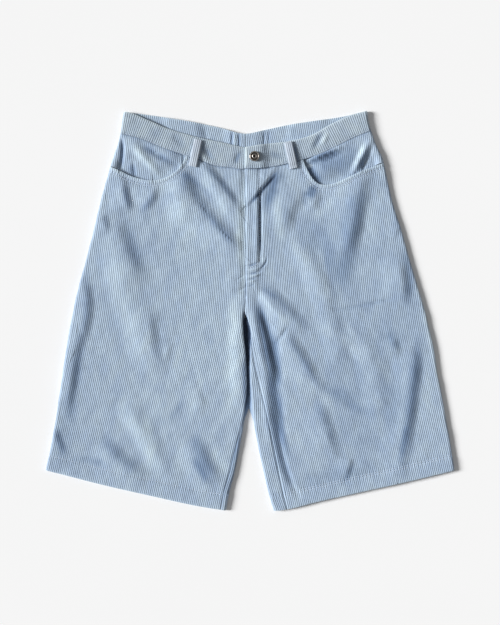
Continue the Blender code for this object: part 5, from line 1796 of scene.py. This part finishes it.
def antique_metal(name):
    """Metal gone dark in its hollows and middle, and rubbed bright on its two raised rings."""
    tree = Tree(name)
    blotches, blotchy = tree.noise(tree.position(), BLOTCHES)
    radius = tree.add("ShaderNodeVectorMath", {0: tree.grain()}, operation="LENGTH").outputs["Value"]

    def on_ring(ring):
        inside = tree.spread(radius, ring.start, ring.full)
        return tree.math("MULTIPLY", inside, tree.spread(radius, ring.end, ring.fading))

    rubbed = tree.math("MAXIMUM", on_ring(INNER_RING), on_ring(OUTER_RING))
    colour = tree.mix(tree.math("MULTIPLY", rubbed, blotchy), METAL_DARK, METAL_LIGHT)
    finish = {"Metallic": 1.0, "Roughness": tree.spread(blotches, *BLOTCH_ROUGHNESS)}
    return tree.finished(colour, finish, blotches, *METAL_RELIEF)


def floor_material():
    tree = Tree("floor")
    _, tone = tree.noise(tree.position(), FLOOR_MOTTLE)
    return tree.finished(tree.grey(tone), FLOOR_FINISH)


# ---- floor, light and camera ----


def add_floor():
    mesh = bpy.data.meshes.new("floor")
    half = FLOOR_SIZE / 2
    corners = [(-half, -half, 0), (half, -half, 0), (half, half, 0), (-half, half, 0)]
    mesh.from_pydata(corners, [], [(0, 1, 2, 3)])
    mesh.materials.append(floor_material())
    floor = add_object("floor", mesh)
    floor.location.z = -FLOOR_DROP


def add_key_light():
    """A soft low light from the left, a little from the waist's side."""
    lamp = bpy.data.lights.new("key", "SUN")
    lamp.energy = KEY_STRENGTH
    lamp.angle = math.radians(KEY_SPREAD)
    holder = add_object("key", lamp)
    tilt, turn = QUARTER_TURN - KEY_ELEVATION, QUARTER_TURN + KEY_AZIMUTH
    holder.rotation_euler = (math.radians(tilt), 0, math.radians(turn))


def add_surroundings():
    world = bpy.data.worlds.new("studio")
    world.use_nodes = True
    background = world.node_tree.nodes["Background"]
    background.inputs["Color"].default_value = (1, 1, 1, 1)
    background.inputs["Strength"].default_value = AMBIENT
    bpy.context.scene.world = world
    bpy.context.scene.view_settings.view_transform = "Standard"


def add_camera():
    camera = bpy.data.cameras.new("camera")
    camera.lens = CAMERA_LENS
    camera.sensor_width = CAMERA_SENSOR
    camera.sensor_fit = "VERTICAL"
    camera.sensor_height = CAMERA_SENSOR
    holder = add_object("camera", camera)
    holder.location = (0, CAMERA_Y, VIEW_HEIGHT * CAMERA_LENS / CAMERA_SENSOR)
    bpy.context.scene.camera = holder


# ---- the garment ----


def flat_layer(cut):
    """A cut piece's outer face without folds, as points and triangles."""
    layer = Layer(cut, INNER_ROWS, wales_across((0,)))
    _, points, _ = form(cut._replace(top=flat_top), layer)
    return points, layer.triangles


def flat_area(cut):
    points, triangles = flat_layer(cut)
    corners = points[np.asarray(triangles)]
    sides = corners[:, 1] - corners[:, 0], corners[:, 2] - corners[:, 0]
    return float(np.linalg.norm(np.cross(*sides), axis=1).sum() / 2)


def declare_panel(cut):
    """Works out the flat cut of a panel: its greatest width and length, and its area."""
    width, length, _ = np.ptp(flat_layer(cut)[0], axis=0)
    flat_area(cut)


def declare_band(piece, cuts):
    """Works out the flat cut of a waistband: a strip of its depth that is as long as its area makes it."""
    length = sum(flat_area(cut) for cut in cuts) / BAND_DEPTH


def add_sewing(cut, shell, thread):
    """The threads of a cut piece's rows of stitches, in one mesh."""
    surface = surface_finder(shell, cut.face)
    shells = [stitch for path in cut.stitching for stitch in stitch_row(path, surface, cut.face)]
    return [add_piece(f"stitches_{cut.name}", joined(shells), thread)] if shells else []


def add_cloth(name, shell, cloth):
    piece = add_piece(f"cloth_{name}", shell, cloth)
    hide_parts(name)
    return piece


def add_cut(cut, cloth, thread):
    shell = build_cut(cut)
    return add_cloth(cut.name, shell, cloth), add_sewing(cut, shell, thread)


def add_loop(name, shell, cloth):
    add_cloth(name, shell, cloth)


def add_side(side, cloth, band_cloth, loop_cloth, thread):
    """The pieces of one side of the front, and the back panel under them."""
    name = SIDE_NAMES[side]
    back, front, facing = (f"cloth_{part}_{name}" for part in ("back_panel", "front_panel", "pocket_facing"))
    layers = (back_cut(side), []), (facing_cut(side), [back]), (front_cut(side), [back, facing])
    for cut, rests_on in layers:
        piece, sewing = add_cut(cut, cloth, thread)
        declare_panel(cut)
    band = front_band_cut(side)
    piece, sewing = add_cut(band, band_cloth, thread)
    declare_band(piece, [band])
    add_loop(f"belt_loop_front_{name}", front_loop_shell(side), loop_cloth)


def add_garment():
    cloth = corduroy("corduroy", CREST, FURROW)
    band_cloth = corduroy("band corduroy", BAND_CREST, BAND_FURROW)
    loop_cloth = corduroy("loop corduroy", LOOP_CREST, LOOP_FURROW)
    thread = sewing_thread("thread")
    halves = [back_band_cut(side) for side in SIDES]
    shell = joined([build_cut(cut, inside_shows=True) for cut in halves])
    declare_band(add_cloth("waistband_back", shell, cloth), halves)
    for side in SIDES:
        add_side(side, cloth, band_cloth, loop_cloth, thread)
    for loop in BACK_LOOPS:
        add_loop(loop.name, back_loop_shell(loop), loop_cloth)
    button = add_piece("metal_button", button_shell(), antique_metal("antique metal"))
    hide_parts("button")


add_surroundings()
add_floor()
add_key_light()
add_camera()
add_garment()
